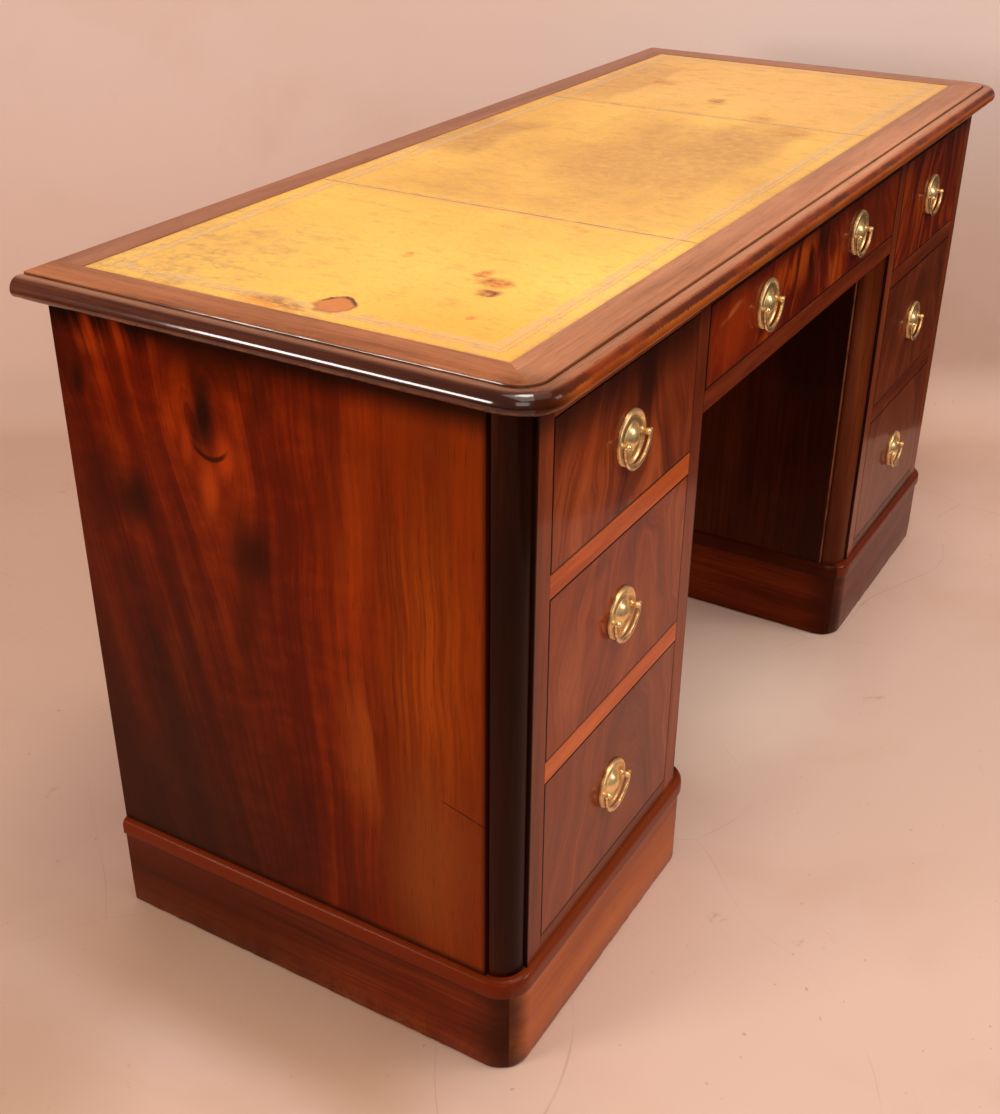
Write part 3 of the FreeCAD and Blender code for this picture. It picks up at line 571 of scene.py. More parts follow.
BOARDS = (
    (end_wood, "left_end_panel right_end_panel"),
    (shaded_inner_wood, "left_inner_panel right_inner_panel"),
    (stile_wood, "front_stiles"),
    (rail_wood, "left_rails"),
    (shaded_rail_wood, "right_rails frieze_rails"),
    (back_wood, "left_back_panel right_back_panel frieze_back_panel"),
    (runner_wood, "left_runners right_runners frieze_runners frieze_dividers drawer_stops floor_boards"),
    (base_wood, "base_strips"),
    (ground_wood, "top_ground"),
)
for finish, names in BOARDS:
    for name in names.split():
        dress(name, finish)
    print(finish.name, "on", names)

# %% [markdown]
# ## Dressing the drawers
# Every drawer takes three finishes: a flame of its own on the front, linings on the box and on
# the bottom. The veneers differ in how their flame stands and in which shades they took, and
# a few soft spots place the bright and dark parts of each figure.

# %% Dress the drawers
# For each front: how far its flame stands aside, how steep and how rounded it is, the noise's
# seed, contrast, reach and shades.
FLAMES = {
    "left_upper": (0.043, 5.5, 0.014, 1.3, 1.25, 0.30, FLAME_SHADES),
    "left_middle": (0.040, 4.0, 0.024, 4.4, 1.1, 0.20, FLAME_SHADES),
    "left_lower": (0.030, 4.5, 0.030, 7.9, 0.7, 0.20, LOWER_SHADES),
    "right_upper": (0.030, 6.0, 0.012, 2.6, 1.1, 0.30, FIERY_SHADES),
    "right_middle": (0.010, 4.5, 0.020, 5.8, 0.9, 0.30, DUSKY_SHADES),
    "right_lower": (0.000, 4.5, 0.030, 9.5, 0.7, 0.30, DUSKY_SHADES),
    "frieze": (-0.030, 3.4, 0.014, 3.7, 1.6, 0.17, FIERY_SHADES),
}
DARK, DARKEST, DARK_STREAK = (48, 10, 2), (28, 4, 1), (66, 18, 8)
GLOW, SHADOW = (196, 84, 16), (44, 8, 2)
# Painted shade under the top's moulded edge, on the upper fronts and the frieze.
PAINTED_SHADE_UNDER_MOULDING = {
    "left_upper": [(0.650, 0.714, 0.0, 0.88, SHADOW)],
    "right_upper": [(0.680, 0.722, 0.0, 0.60, SHADOW)],
    "frieze": [(0.694, 0.722, 0.0, 0.65, SHADOW)],
}
# Spots of each figure: x and z of the middle, half width and half height, share, colour, and
# whether the spot is streaked.
FIGURE_SPOTS = {
    "left_upper": [
        (-0.455, 0.690, 0.034, 0.080, 0.90, DARK, False), (-0.375, 0.660, 0.050, 0.080, 0.55, DARK, True),
        (-0.580, 0.680, 0.040, 0.060, 0.65, (168, 62, 18), True),
        (-0.545, 0.615, 0.070, 0.045, 0.50, (176, 82, 36), True)],
    "left_middle": [
        (-0.535, 0.525, 0.034, 0.020, 0.55, (80, 28, 10), False),
        (-0.435, 0.405, 0.022, 0.060, 0.50, (90, 34, 14), True),
        (-0.595, 0.430, 0.050, 0.080, 0.45, (180, 92, 44), True)],
    "left_lower": [(-0.400, 0.210, 0.060, 0.080, 0.35, (98, 40, 20), False)],
    "right_upper": [
        (0.400, 0.600, 0.050, 0.050, 0.60, DARK, True), (0.560, 0.690, 0.050, 0.050, 0.50, DARK, True)],
    "right_middle": [
        (0.520, 0.500, 0.070, 0.050, 0.60, DARK_STREAK, True),
        (0.400, 0.470, 0.040, 0.080, 0.60, DARK_STREAK, True)],
    "right_lower": [],
    "frieze": [
        (-0.055, 0.690, 0.050, 0.045, 0.85, GLOW, True), (0.070, 0.645, 0.034, 0.034, 0.75, GLOW, True),
        (-0.115, 0.690, 0.034, 0.034, 0.75, (190, 74, 12), True),
        (-0.020, 0.680, 0.012, 0.036, 0.85, DARKEST, False),
        (0.008, 0.700, 0.010, 0.034, 0.85, DARKEST, False),
        (-0.070, 0.712, 0.020, 0.010, 0.70, DARKEST, True),
        (-0.240, 0.670, 0.085, 0.070, 0.75, (168, 54, 6), False),
        (-0.255, 0.688, 0.046, 0.006, 0.55, (214, 118, 60), True),
        (0.220, 0.670, 0.100, 0.080, 0.65, (92, 27, 8), False)],
}
for place, figure in FLAMES.items():
    name = place + "_drawer"
    low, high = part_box(name + "_front")
    veneer = flame("flame_" + name, low, high, *figure, FIGURE_SPOTS[place], PAINTED_SHADE_UNDER_MOULDING.get(place, ()))
    dress(name + "_front", veneer)
    dress(name + "_box", lining_wood)
    dress(name + "_bottom", bottom_wood)
    print(name, "front", [round((high - low)[i] * 1000) for i in range(3)], "mm")

# %% [markdown]
# ## Building shaped pieces
# A moulding is one outline run along an edge. Here each station along the edge carries a
# whole ring of points, and neighbouring rings are joined with faces. A path and a bevel
# object would give the same body, but rings let every point be nudged, so that the edge can
# be dented and worn where hands and chairs knocked it.

# %% Rings and pieces
def piece_from(name, shape, finish, smooth, wear=None):
    """A welded, smooth-shaded piece of a shape, which is a pair of vertices and faces."""
    vertices, faces = shape
    mesh = bpy.data.meshes.new(name)
    mesh.from_pydata([tuple(v) for v in vertices], [], faces)
    if wear:
        mesh.attributes.new("wear", "FLOAT", "POINT").data.foreach_set("value", wear)
    builder = bmesh.new()
    builder.from_mesh(mesh)
    bmesh.ops.remove_doubles(builder, verts=builder.verts, dist=WELD_WITHIN)
    bmesh.ops.recalc_face_normals(builder, faces=builder.faces)
    builder.to_mesh(mesh)
    builder.free()
    mesh.shade_smooth()
    mesh.set_sharp_from_angle(angle=math.radians(smooth))
    mesh.materials.append(finish)
    piece = placed(name, mesh)
    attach(piece, "desk")
    return piece


def ringed(rings):
    """The shape of rings joined one after another, with a cap at each end."""
    count = len(rings[0])
    vertices = [point for ring in rings for point in ring]
    faces = []
    for here in range(0, len(vertices) - count, count):
        there = here + count
        for k in range(count):
            after = (k + 1) % count
            faces.append((here + k, there + k, there + after, here + after))
    faces.append(tuple(range(count)))
    faces.append(tuple(range(len(vertices) - count, len(vertices))))
    return vertices, faces


def gathered(parts):
    """Several shapes as one shape."""
    vertices, faces = [], []
    for more_vertices, more_faces in parts:
        start = len(vertices)
        vertices += more_vertices
        faces += [tuple(start + index for index in face) for face in more_faces]
    return vertices, faces


def arc(centre, radius, start, end, steps):
    """Points of an arc, start and end given in degrees."""
    points = []
    for step in range(steps + 1):
        angle = math.radians(start + (end - start) * step / steps)
        points.append((centre[0] + radius * math.cos(angle), centre[1] + radius * math.sin(angle)))
    return points


def edge_path(left, right, front, back, radius):
    """Stations round three sides: (x, y, outward x, outward y), split into left, front and right."""
    def straight(start, end, out):
        run_x, run_y = end[0] - start[0], end[1] - start[1]
        count = max(2, round((Vector(end) - Vector(start)).length / 0.006))
        return [(start[0] + run_x * i / count, start[1] + run_y * i / count, *out)
                for i in range(count + 1)]

    def corner(cx, cy, start, end):
        return [(x, y, (x - cx) / radius, (y - cy) / radius)
                for x, y in arc((cx, cy), radius, start, end, 7)]

    west, east, south = left + radius, right - radius, front + radius
    return [
        straight((left, back), (left, south), (-1, 0)) + corner(west, south, 180, 225)[1:],
        corner(west, south, 225, 270) + straight((west, front), (east, front), (0, -1))[1:]
        + corner(east, south, 270, 315)[1:],
        corner(east, south, 315, 360) + straight((right, south), (right, back), (1, 0))[1:],
    ]


print("an arc of 90 degrees in", len(arc((0, 0), 1, 0, 90, 7)) - 1, "steps")

# %% [markdown]
# ## The moulded top
# The border of the top is four boards round the leather: three carry the thumb moulding on
# their outer edge and meet in mitres at the front corners, and the back one is cut square.
# Its flat has faded to a pinkish brown, while the moulding is darker, and its lowest edge is
# chipped back to pale wood. The wear is stored on the mesh as a number from 0 to 1, so the
# shape and the finish agree about where the wood is worn.

# %% Top border finish
EDGE_X, EDGE_Y, TOP_BACK, EDGE_RADIUS = 0.691, -0.266, 0.286, 0.025


def ragged(f, height, bands):
    """Wear whose edge breaks up into short upright ticks. A band is its middle, its half
    height, its share and its colour."""
    ticks = f.noise(f.place, (420.0, 50.0, 50.0), detail=3.0, rough=0.7)
    patchy = f.noise(f.place, scale=16.0, detail=2.0)
    wandering = height + (ticks - 0.5) * 0.006
    for middle, half, share, colour in bands:
        off = abs(wandering - middle)
        level = f.span(off, half * 0.5, half, share, 0.0) * f.span(patchy, 0.35, 0.60, 0.40, 1.0)
        f.paint(level, colour)


def worn_mahogany(name, along, shades, worn, seed, bands=24.0, gloss=0.10, coat=0.2, faded=None,
                  edge_coat=None, corners=0.0, dark_bands=(), torn=(), shaded_to_back=None):
    """Mahogany whose 'wear' attribute bares paler wood. faded is the shades that light has
    left and the heights between which they take over."""
    f = Finish(name)
    broad, fibres, pores, _ = board_grain(f, along, seed, bands, 0.08, (300.0, 6.0), (1200.0, 34.0))
    figure = broad * 0.7 + fibres * 0.3
    f.colour = f.ramp(figure, (0.30, 0.50, 0.70), shades)
    height = f.split(f.place)[2]
    if faded:
        faded_shades, low, high = faded
        pale = f.ramp(figure, (0.30, 0.50, 0.70), faded_shades)
        f.paint(f.span(height, low, high), pale)
    f.paint(f.span(pores, 0.60, 0.72, 0.0, 0.5), shades[0])
    if edge_coat:
        x, y, z = f.split(f.place)
        beyond_side = f.sum("MAXIMUM", abs(x) - (EDGE_X - EDGE_RADIUS), 0.0)
        beyond_front = f.sum("MAXIMUM", (EDGE_Y + EDGE_RADIUS) - y, 0.0)
        squares = beyond_side * beyond_side + beyond_front * beyond_front
        off_quirk = abs(f.sum("SQRT", squares) - (EDGE_RADIUS + 0.0012))
        f.paint(f.span(off_quirk, 0.0006, 0.0016, 0.85, 0.0), (26, 9, 4))
        # A painted dark reflection round the left front corner of the moulding.
        f.patch((-0.690, -0.262, None), (0.060, 0.045, None), 0.60, (62, 24, 9))
        turning = f.span(x, -0.682, -0.630, 0.85, 0.0) * f.span(y, -0.24, -0.20, 1.0, 0.0)
        f.paint(turning * f.span(z, 0.7585, 0.7610, 1.0, 0.0), (44, 15, 6))
    wear = f.value("Attribute", output="Fac", attribute_name="wear")
    specks = f.noise(f.place, scale=160.0, detail=4.0, rough=0.7)
    bared = f.sum("MULTIPLY", wear, f.span(specks, 0.36, 0.56), clamp=True)
    f.paint(bared, worn)
    # Painted shade round the rounded corners of the plinths.
    if corners:
        x, y, _ = f.split(f.place)
        from_side = abs(abs(abs(x) - PEDESTAL_MIDDLE) - PEDESTAL_HALF)
        from_front = y + 0.259
        from_corner = f.sum("MAXIMUM", from_side, from_front) + broad * 0.03
        f.paint(f.span(from_corner, 0.020, 0.020 + corners, 0.85, 0.0), (44, 14, 5))
    # Painted shade, darker towards the back.
    if shaded_to_back:
        near, far, share, colour = shaded_to_back
        f.paint(f.span(f.split(f.place)[1], near, far, 0.0, share), colour)
    if torn:
        whole, left_end = f.colour, f.span(f.split(f.place)[0], -0.690, -0.640, 1.0, 0.0)
        ragged(f, height, torn)
        f.colour = f.mix(left_end, f.colour, whole)
    darkened_by_height(f, height, dark_bands)
    polish(f, fibres, gloss, coat)
    if edge_coat:
        f.set(Coat_Weight=f.span(height, 0.7600, 0.7616, edge_coat, coat))
    return f.set(Base_Color=f.colour)


TOP_SHADES = ((36, 12, 5), (66, 26, 12), (104, 48, 26))
# FRONT_SHADES, brighter and more orange than TOP_SHADES on the ends, are painted light: the front moulding
# painted as more brightly lit than the ends.
FRONT_SHADES = ((82, 22, 3), (142, 52, 9), (186, 84, 22))
FADED_SHADES = ((108, 60, 36), (152, 92, 58), (180, 114, 76))
DULLED_SHADES = ((92, 50, 32), (136, 82, 56), (162, 104, 74))
BLEACHED_SHADES = ((116, 70, 46), (163, 106, 74), (195, 135, 98))
BARED = (186, 96, 34)
# The dark bands at the foot of the moulded edge are painted shade under the edge.
border_along_y = worn_mahogany(
    "border_ends", ALONG_Y, TOP_SHADES, BARED, 2.9, faded=(FADED_SHADES, 0.7588, 0.7618), edge_coat=1.0,
    dark_bands=[(0.7402, 0.7446, 0.88, 0.0, (16, 4, 1))])
border_along_x = worn_mahogany(
    "border_front", ALONG_X, FRONT_SHADES, BARED, 6.3, faded=(BLEACHED_SHADES, 0.7572, 0.7612),
    edge_coat=0.24, dark_bands=[(0.7402, 0.7430, 0.70, 0.0, (40, 9, 2))],
    torn=[(0.7492, 0.0068, 0.90, (170, 84, 24)), (0.7562, 0.0034, 0.80, (62, 26, 13))])
border_behind = worn_mahogany(
    "border_back", ALONG_X, FRONT_SHADES, BARED, 8.8, faded=(DULLED_SHADES, 0.7560, 0.7612), edge_coat=0.2)
print("border finishes:", border_along_x.name, border_along_y.name, border_behind.name)

# %% [markdown]
# ## The outline of the edge
# The thumb moulding is drawn once as distances out from the board and heights. Two arcs make
# the round bead and the round above it, and a small quirk divides them from the flat. Each
# row of the outline says how much it is worn and how deeply it may be dented.

# %% Top border mesh
TOP_UNDER, TOP_UPPER = 0.740, 0.762
EDGE_OUT = 0.020
LEATHER_X, LEATHER_FRONT, LEATHER_BACK = 0.651, -0.223, 0.250


def thumb_outline():
    """The moulded edge from its underside to the flat, as (distance out, height)."""
    shoulder = TOP_UPPER - 0.0014
    lower = arc((EDGE_OUT - 0.0086, TOP_UNDER + 0.0086), 0.0086, -90, 0, 9)
    upper = arc((EDGE_OUT - 0.012, shoulder - 0.012), 0.012, 0, 90, 10)[1:]
    quirk = [(0.0027, shoulder), (0.0022, shoulder - 0.0003), (0.0020, shoulder - 0.0010),
             (0.0017, shoulder - 0.0017), (0.0004, shoulder - 0.0018), (0.0, shoulder - 0.0012),
             (0.0, TOP_UPPER - 0.0006), (-0.0002, TOP_UPPER - 0.0002), (-0.0007, TOP_UPPER)]
    return lower + upper + quirk


def knocks(point, size, seed):
    """A number from 0 to 1 that comes and goes along an edge, for dents and wear."""
    value = noise.noise(Vector(point) * size + Vector((seed, seed, seed)))
    finer = noise.noise(Vector(point) * size * 3.1 + Vector((seed, 0, seed)))
    return max(0.0, min(1.0, 0.5 + 0.9 * value + 0.5 * finer))


def moulded_board(name, stations, outline, inner_of, finish, worn_rows):
    """Rings of an outline along an edge. inner_of gives the board's inner edge at a station,
    and worn_rows gives (most wear, dent depth) for outline rows."""
    rings, wear = [], []
    for x, y, out_x, out_y in stations:
        inside = inner_of(x, y, out_x, out_y)
        ring = [(*inside, outline[0][1])]
        worn = [0.0]
        for row, (out, height) in enumerate(outline):
            most, dent = worn_rows.get(row, (0.0, 0.0))
            place = (x + out_x * out, y + out_y * out, height)
            share = knocks(place, 38.0, row * 0.07) * most
            cut = dent * max(0.0, knocks(place, 61.0, 4.0 + row * 0.05) - 0.55) * 2.2
            ring.append((place[0] - out_x * cut, place[1] - out_y * cut, height + cut * 0.4))
            worn.append(share)
        ring.append((*inside, outline[-1][1]))
        worn.append(0.0)
        rings.append(ring)
        wear += worn
    return piece_from(name, ringed(rings), finish, 50, wear)


# Row of the outline: most wear, and depth of the dents. Rows 0 to 9 are the lower bead, and
# 20 to 28 are the quirk and the arris of the top.
TOP_WEAR = {0: (0.7, 0.0002), 1: (0.9, 0.0006), 2: (1.0, 0.0009), 3: (1.0, 0.0007), 4: (0.8, 0.0004),
            5: (0.6, 0.0002), 6: (0.4, 0.0), 7: (0.2, 0.0), 27: (0.4, 0.0001), 28: (0.3, 0.0)}
END_WEAR = {row: (most * (0.25 if row < 6 else 1.0), dent) for row, (most, dent) in TOP_WEAR.items()}


def inside_end(x, y, *_):
    return math.copysign(LEATHER_X, x), max(LEATHER_FRONT, y)


def inside_front(x, *_):
    return max(-LEATHER_X, min(LEATHER_X, x)), LEATHER_FRONT


left_edge, front_edge, right_edge = edge_path(-EDGE_X, EDGE_X, EDGE_Y, TOP_BACK, EDGE_RADIUS)
for side, stations, inside, finish, wear in (
        ("left", left_edge, inside_end, border_along_y, END_WEAR),
        ("front", front_edge, inside_front, border_along_x, TOP_WEAR),
        ("right", right_edge, inside_end, border_along_y, END_WEAR)):
    board = moulded_board(f"top_border_{side}", stations, thumb_outline(), inside, finish, wear)
    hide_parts("top_border")
    print(board.name, len(board.data.vertices), "vertices")


# %% [markdown]
# ## The back board
# The back of the desk stands against a wall, so its board has no moulding: it is a plank with
# softened arrises, built of the same rings.

# %% Square back board of the top
def plank(low, high, s=ARRIS):
    """The shape of a board along X whose arrises are softened by s."""
    def section(x, shrink):
        y0, y1, z0, z1 = low[1] + shrink, high[1] - shrink, low[2] + shrink, high[2] - shrink
        return [(x, y0 + s, z0), (x, y1 - s, z0), (x, y1, z0 + s), (x, y1, z1 - s), (x, y1 - s, z1),
                (x, y0 + s, z1), (x, y0, z1 - s), (x, y0, z0 + s)]
    count = max(2, round((high[0] - low[0]) / 0.05))
    rings = [section(low[0], s)]
    rings += [section(low[0] + s + (high[0] - low[0] - 2 * s) * i / count, 0) for i in range(count + 1)]
    rings.append(section(high[0], s))
    return ringed(rings)


back_shape = plank((-LEATHER_X, LEATHER_BACK, TOP_UNDER), (LEATHER_X, TOP_BACK, TOP_UPPER), 0.0005)
back_board = piece_from("top_border_back", back_shape, border_behind, 30)
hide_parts("top_border")
print("back board", [round(v, 3) for v in back_board.dimensions])

# %% [markdown]
# ## The columns
# The front corners of each pedestal are quarter-round columns set back between two grooves.
# The outline is drawn once, counted inwards from the corner, and run upwards; mirroring the
# counting direction gives the other three columns.

# %% Columns
OUTER_X, KNEE_X = 0.697, 0.284
FRONT_Y, REAR_Y = -0.259, 0.253
PLINTH_LOW, PLINTH_SEAT, PLINTH_HIGH = 0.0015, 0.010, 0.123


def column_outline():
    """The column's section as distances in from the end face and from the front."""
    groove = 0.007
    return ([(COLUMN_WIDTH, COLUMN_WIDTH), (groove, COLUMN_WIDTH), (groove, 0.0285)]
            + arc((0.0285, 0.0285), 0.025, 180, 270, 18) + [(0.0285, groove), (COLUMN_WIDTH, groove)])


def column(corner_x, turn, bottom, top):
    rings = []
    for step in range(25):
        z = bottom + (top - bottom) * step / 24
        rings.append([(corner_x + turn * a, FRONT_Y + b, z) for a, b in column_outline()])
    return ringed(rings)


for name, corner, inwards, top, finish in (("outer", OUTER_X, -1, TOP_UNDER, column_wood),
                                           ("inner", KNEE_X, 1, 0.600, lit_inner_column_wood)):
    pair = gathered([column(side * corner, side * inwards, PLINTH_HIGH, top) for side in (-1, 1)])
    columns = piece_from(f"corner_columns_{name}", pair, finish, 40)
    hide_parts("corner_columns")
    print(name, "columns", [round(v, 3) for v in columns.dimensions])

# %% [markdown]
# ## The plinths
# Each pedestal stands on a plinth of mitred boards with a rounded nose along the top, and the
# corners under the columns are rounded to match. Feet knock a plinth more than anything else
# on a desk, so its nose and its lower edge carry the most wear; the pale wear along the top of
# the nose is also a painted highlight. Painted shade darkens the rounded corners, the ends
# towards the back, the kneehole boards and the right front.

# %% Plinths
PLINTH_WORN = (176, 84, 38)
# The nose of each plinth is darker than its face.
DARKER_NOSE = [(0.1005, 0.1030, 0.0, 0.85, (104, 33, 8))]
PAINTED_SHADE_ON_NOSE = [(0.1005, 0.1030, 0.0, 0.9, (58, 18, 6))]
DULL, GLOSSY = (20.0, 0.16, 0.04), (20.0, 0.16, 0.22)
plinth_side = worn_mahogany("plinth_sides", ALONG_Y, PLINTH_WOOD, PLINTH_WORN, 1.1, *DULL, corners=0.055,
                            dark_bands=DARKER_NOSE, shaded_to_back=(-0.16, 0.12, 0.5, (44, 15, 6)))
plinth_left_front = worn_mahogany("plinth_fronts", ALONG_X, PLINTH_FRONT_WOOD, PLINTH_WORN, 3.9, *GLOSSY,
                                  corners=0.030, dark_bands=DARKER_NOSE)
# The right front takes the darker plinth wood: painted shade.
plinth_right_front = worn_mahogany("plinth_right_front", ALONG_X, PLINTH_WOOD, PLINTH_WORN, 5.6, *GLOSSY,
                                   corners=0.030, dark_bands=DARKER_NOSE)
# The kneehole boards are a shaded copy of the plinth ends: a darker nose and a third of the wear, as painted
# shade.
plinth_shaded = worn_mahogany("plinth_kneehole_shaded", ALONG_Y, PLINTH_WOOD, (112, 46, 20), 2.6, *DULL,
                              corners=0.055, dark_bands=PAINTED_SHADE_ON_NOSE)
PLINTH_BOARD = 0.016


def plinth_outline():
    """From the seat on the base strips, down its lip, up the face, over the nose and back in."""
    foot = [(-0.0120, PLINTH_SEAT), (-0.0120, PLINTH_LOW), (0.0030, PLINTH_LOW),
            (0.0037, PLINTH_LOW + 0.0003), (0.0040, PLINTH_LOW + 0.0010)]
    face = [(0.0040, PLINTH_SEAT + h) for h in (0.02, 0.04, 0.06, 0.08, 0.0915)]
    step = [(0.0043, 0.1024), (0.0064, 0.1030), (0.0069, 0.1034), (0.0070, 0.1042)]
    nose = arc((0.0070 - 0.008, PLINTH_HIGH - 0.008), 0.008, 0, 90, 9)
    return foot + face + step + nose


# Rows 0 to 4 are the foot, 5 to 9 the face, 10 to 13 the step and 14 to 23 the nose.
# The pale wear on the upper nose rows is partly a painted highlight.
PLINTH_WEAR_AND_HIGHLIGHT = {2: (0.30, 0.0), 3: (0.38, 0.0006), 4: (0.30, 0.0006), 5: (0.04, 0.0), 11: (0.3, 0.0),
               12: (0.3, 0.0), 19: (0.3, 0.0), 20: (0.5, 0.0003), 21: (0.6, 0.0003), 22: (0.5, 0.0),
               23: (0.2, 0.0)}
SHADED_WEAR = {row: (share / 3, depth) for row, (share, depth) in PLINTH_WEAR_AND_HIGHLIGHT.items()}


def inside_plinth(x, y, out_x, out_y):
    return x - out_x * PLINTH_BOARD, y - out_y * PLINTH_BOARD


for side, left, right in (("left", -OUTER_X, -KNEE_X), ("right", KNEE_X, OUTER_X)):
    boards = []
    edges = edge_path(left, right, FRONT_Y, REAR_Y, 0.028)
    for name, stations in zip(("left", "front", "right"), edges):
        finish, wear = plinth_side, PLINTH_WEAR_AND_HIGHLIGHT
        if name == "front":
            finish = plinth_left_front if side == "left" else plinth_right_front
        elif name != side:
            finish, wear = plinth_shaded, SHADED_WEAR
        boards.append(moulded_board(f"{side}_plinth_{name}_board", stations, plinth_outline(),
                                    inside_plinth, finish, wear))
    back_shape = plank((left + PLINTH_BOARD, 0.233, PLINTH_SEAT), (right - PLINTH_BOARD, REAR_Y, PLINTH_HIGH))
    boards.append(piece_from(f"{side}_plinth_back_board", back_shape, plinth_left_front,
                             30))
    print(side, "plinth boards:", [len(board.data.vertices) for board in boards])
    for board in boards:
        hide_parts(f"{side}_plinth")

# %% [markdown]
# ## The writing leather
# Three skins of hide are glued into the recess of the top, with two cross seams. The colour
# is a mustard stain that light, elbows and a hot cup have changed over time, so it is built
# from clouds of yellow, green-brown and pink-brown, and its right end is painted paler and
# pinker as a painted reflection. The double line near the edge is pressed in with a hot wheel:
# a shallow groove with a greyish bloom. Each mark sits where it is on the real desk, as a soft
# blot whose outline is broken up with noise.

# %% Leather finish
def counted_from(f, x, y, ragged_by, scale):
    """Where a point lies from a centre on the top, counted in the spot's own size."""
    warped = f.wander(f.place, *ragged_by)
    away = f.vector("SUBTRACT", warped, (x, y, TOP_UPPER))
    return f.vector("MULTIPLY", away, scale)


def blot(f, x, y, size, soft, tall=1.0):
    """1 inside a ragged spot, 0 outside. tall flattens it when above 1."""
    spot = counted_from(f, x, y, (45.0, (0.016, 0.016, 0.0)), (1 / size, tall / size, 0))
    return f.span(f.vector("LENGTH", spot), 1.0 - soft, 1.0, 1.0, 0.0)


# Spots: x, y, size, strength and how flat. Rubbed fields: x, y, half width, half depth, strength.
MARKS = [
    (-0.470, -0.088, 0.016, 0.90, 1.2), (-0.486, -0.112, 0.019, 0.95, 0.8),
    (-0.5135, -0.119, 0.015, 1.0, 0.9), (-0.577, -0.141, 0.008, 0.8, 1.0),
    (-0.456, 0.006, 0.012, 0.4, 1.0), (-0.636, 0.040, 0.020, 0.7, 0.45),
    (-0.640, 0.008, 0.012, 0.5, 0.6), (0.362, 0.027, 0.020, 0.8, 1.0),
    (0.443, 0.147, 0.030, 0.45, 1.0), (0.293, -0.064, 0.030, 0.4, 1.0),
    (0.237, -0.128, 0.036, 0.35, 1.0)]
RUBBED = [
    (0.04, -0.050, 0.19, 0.105, 0.60), (0.015, 0.205, 0.095, 0.038, 0.70), (0.42, 0.20, 0.15, 0.040, 0.50),
    (0.16, -0.10, 0.14, 0.060, 0.36), (-0.56, 0.19, 0.09, 0.050, 0.16), (0.22, 0.06, 0.14, 0.050, 0.22),
    (-0.25, -0.09, 0.12, 0.090, 0.24)]
SEAM_X, GAP = 0.2702, 0.0002
TOOLED_AT = 0.0180


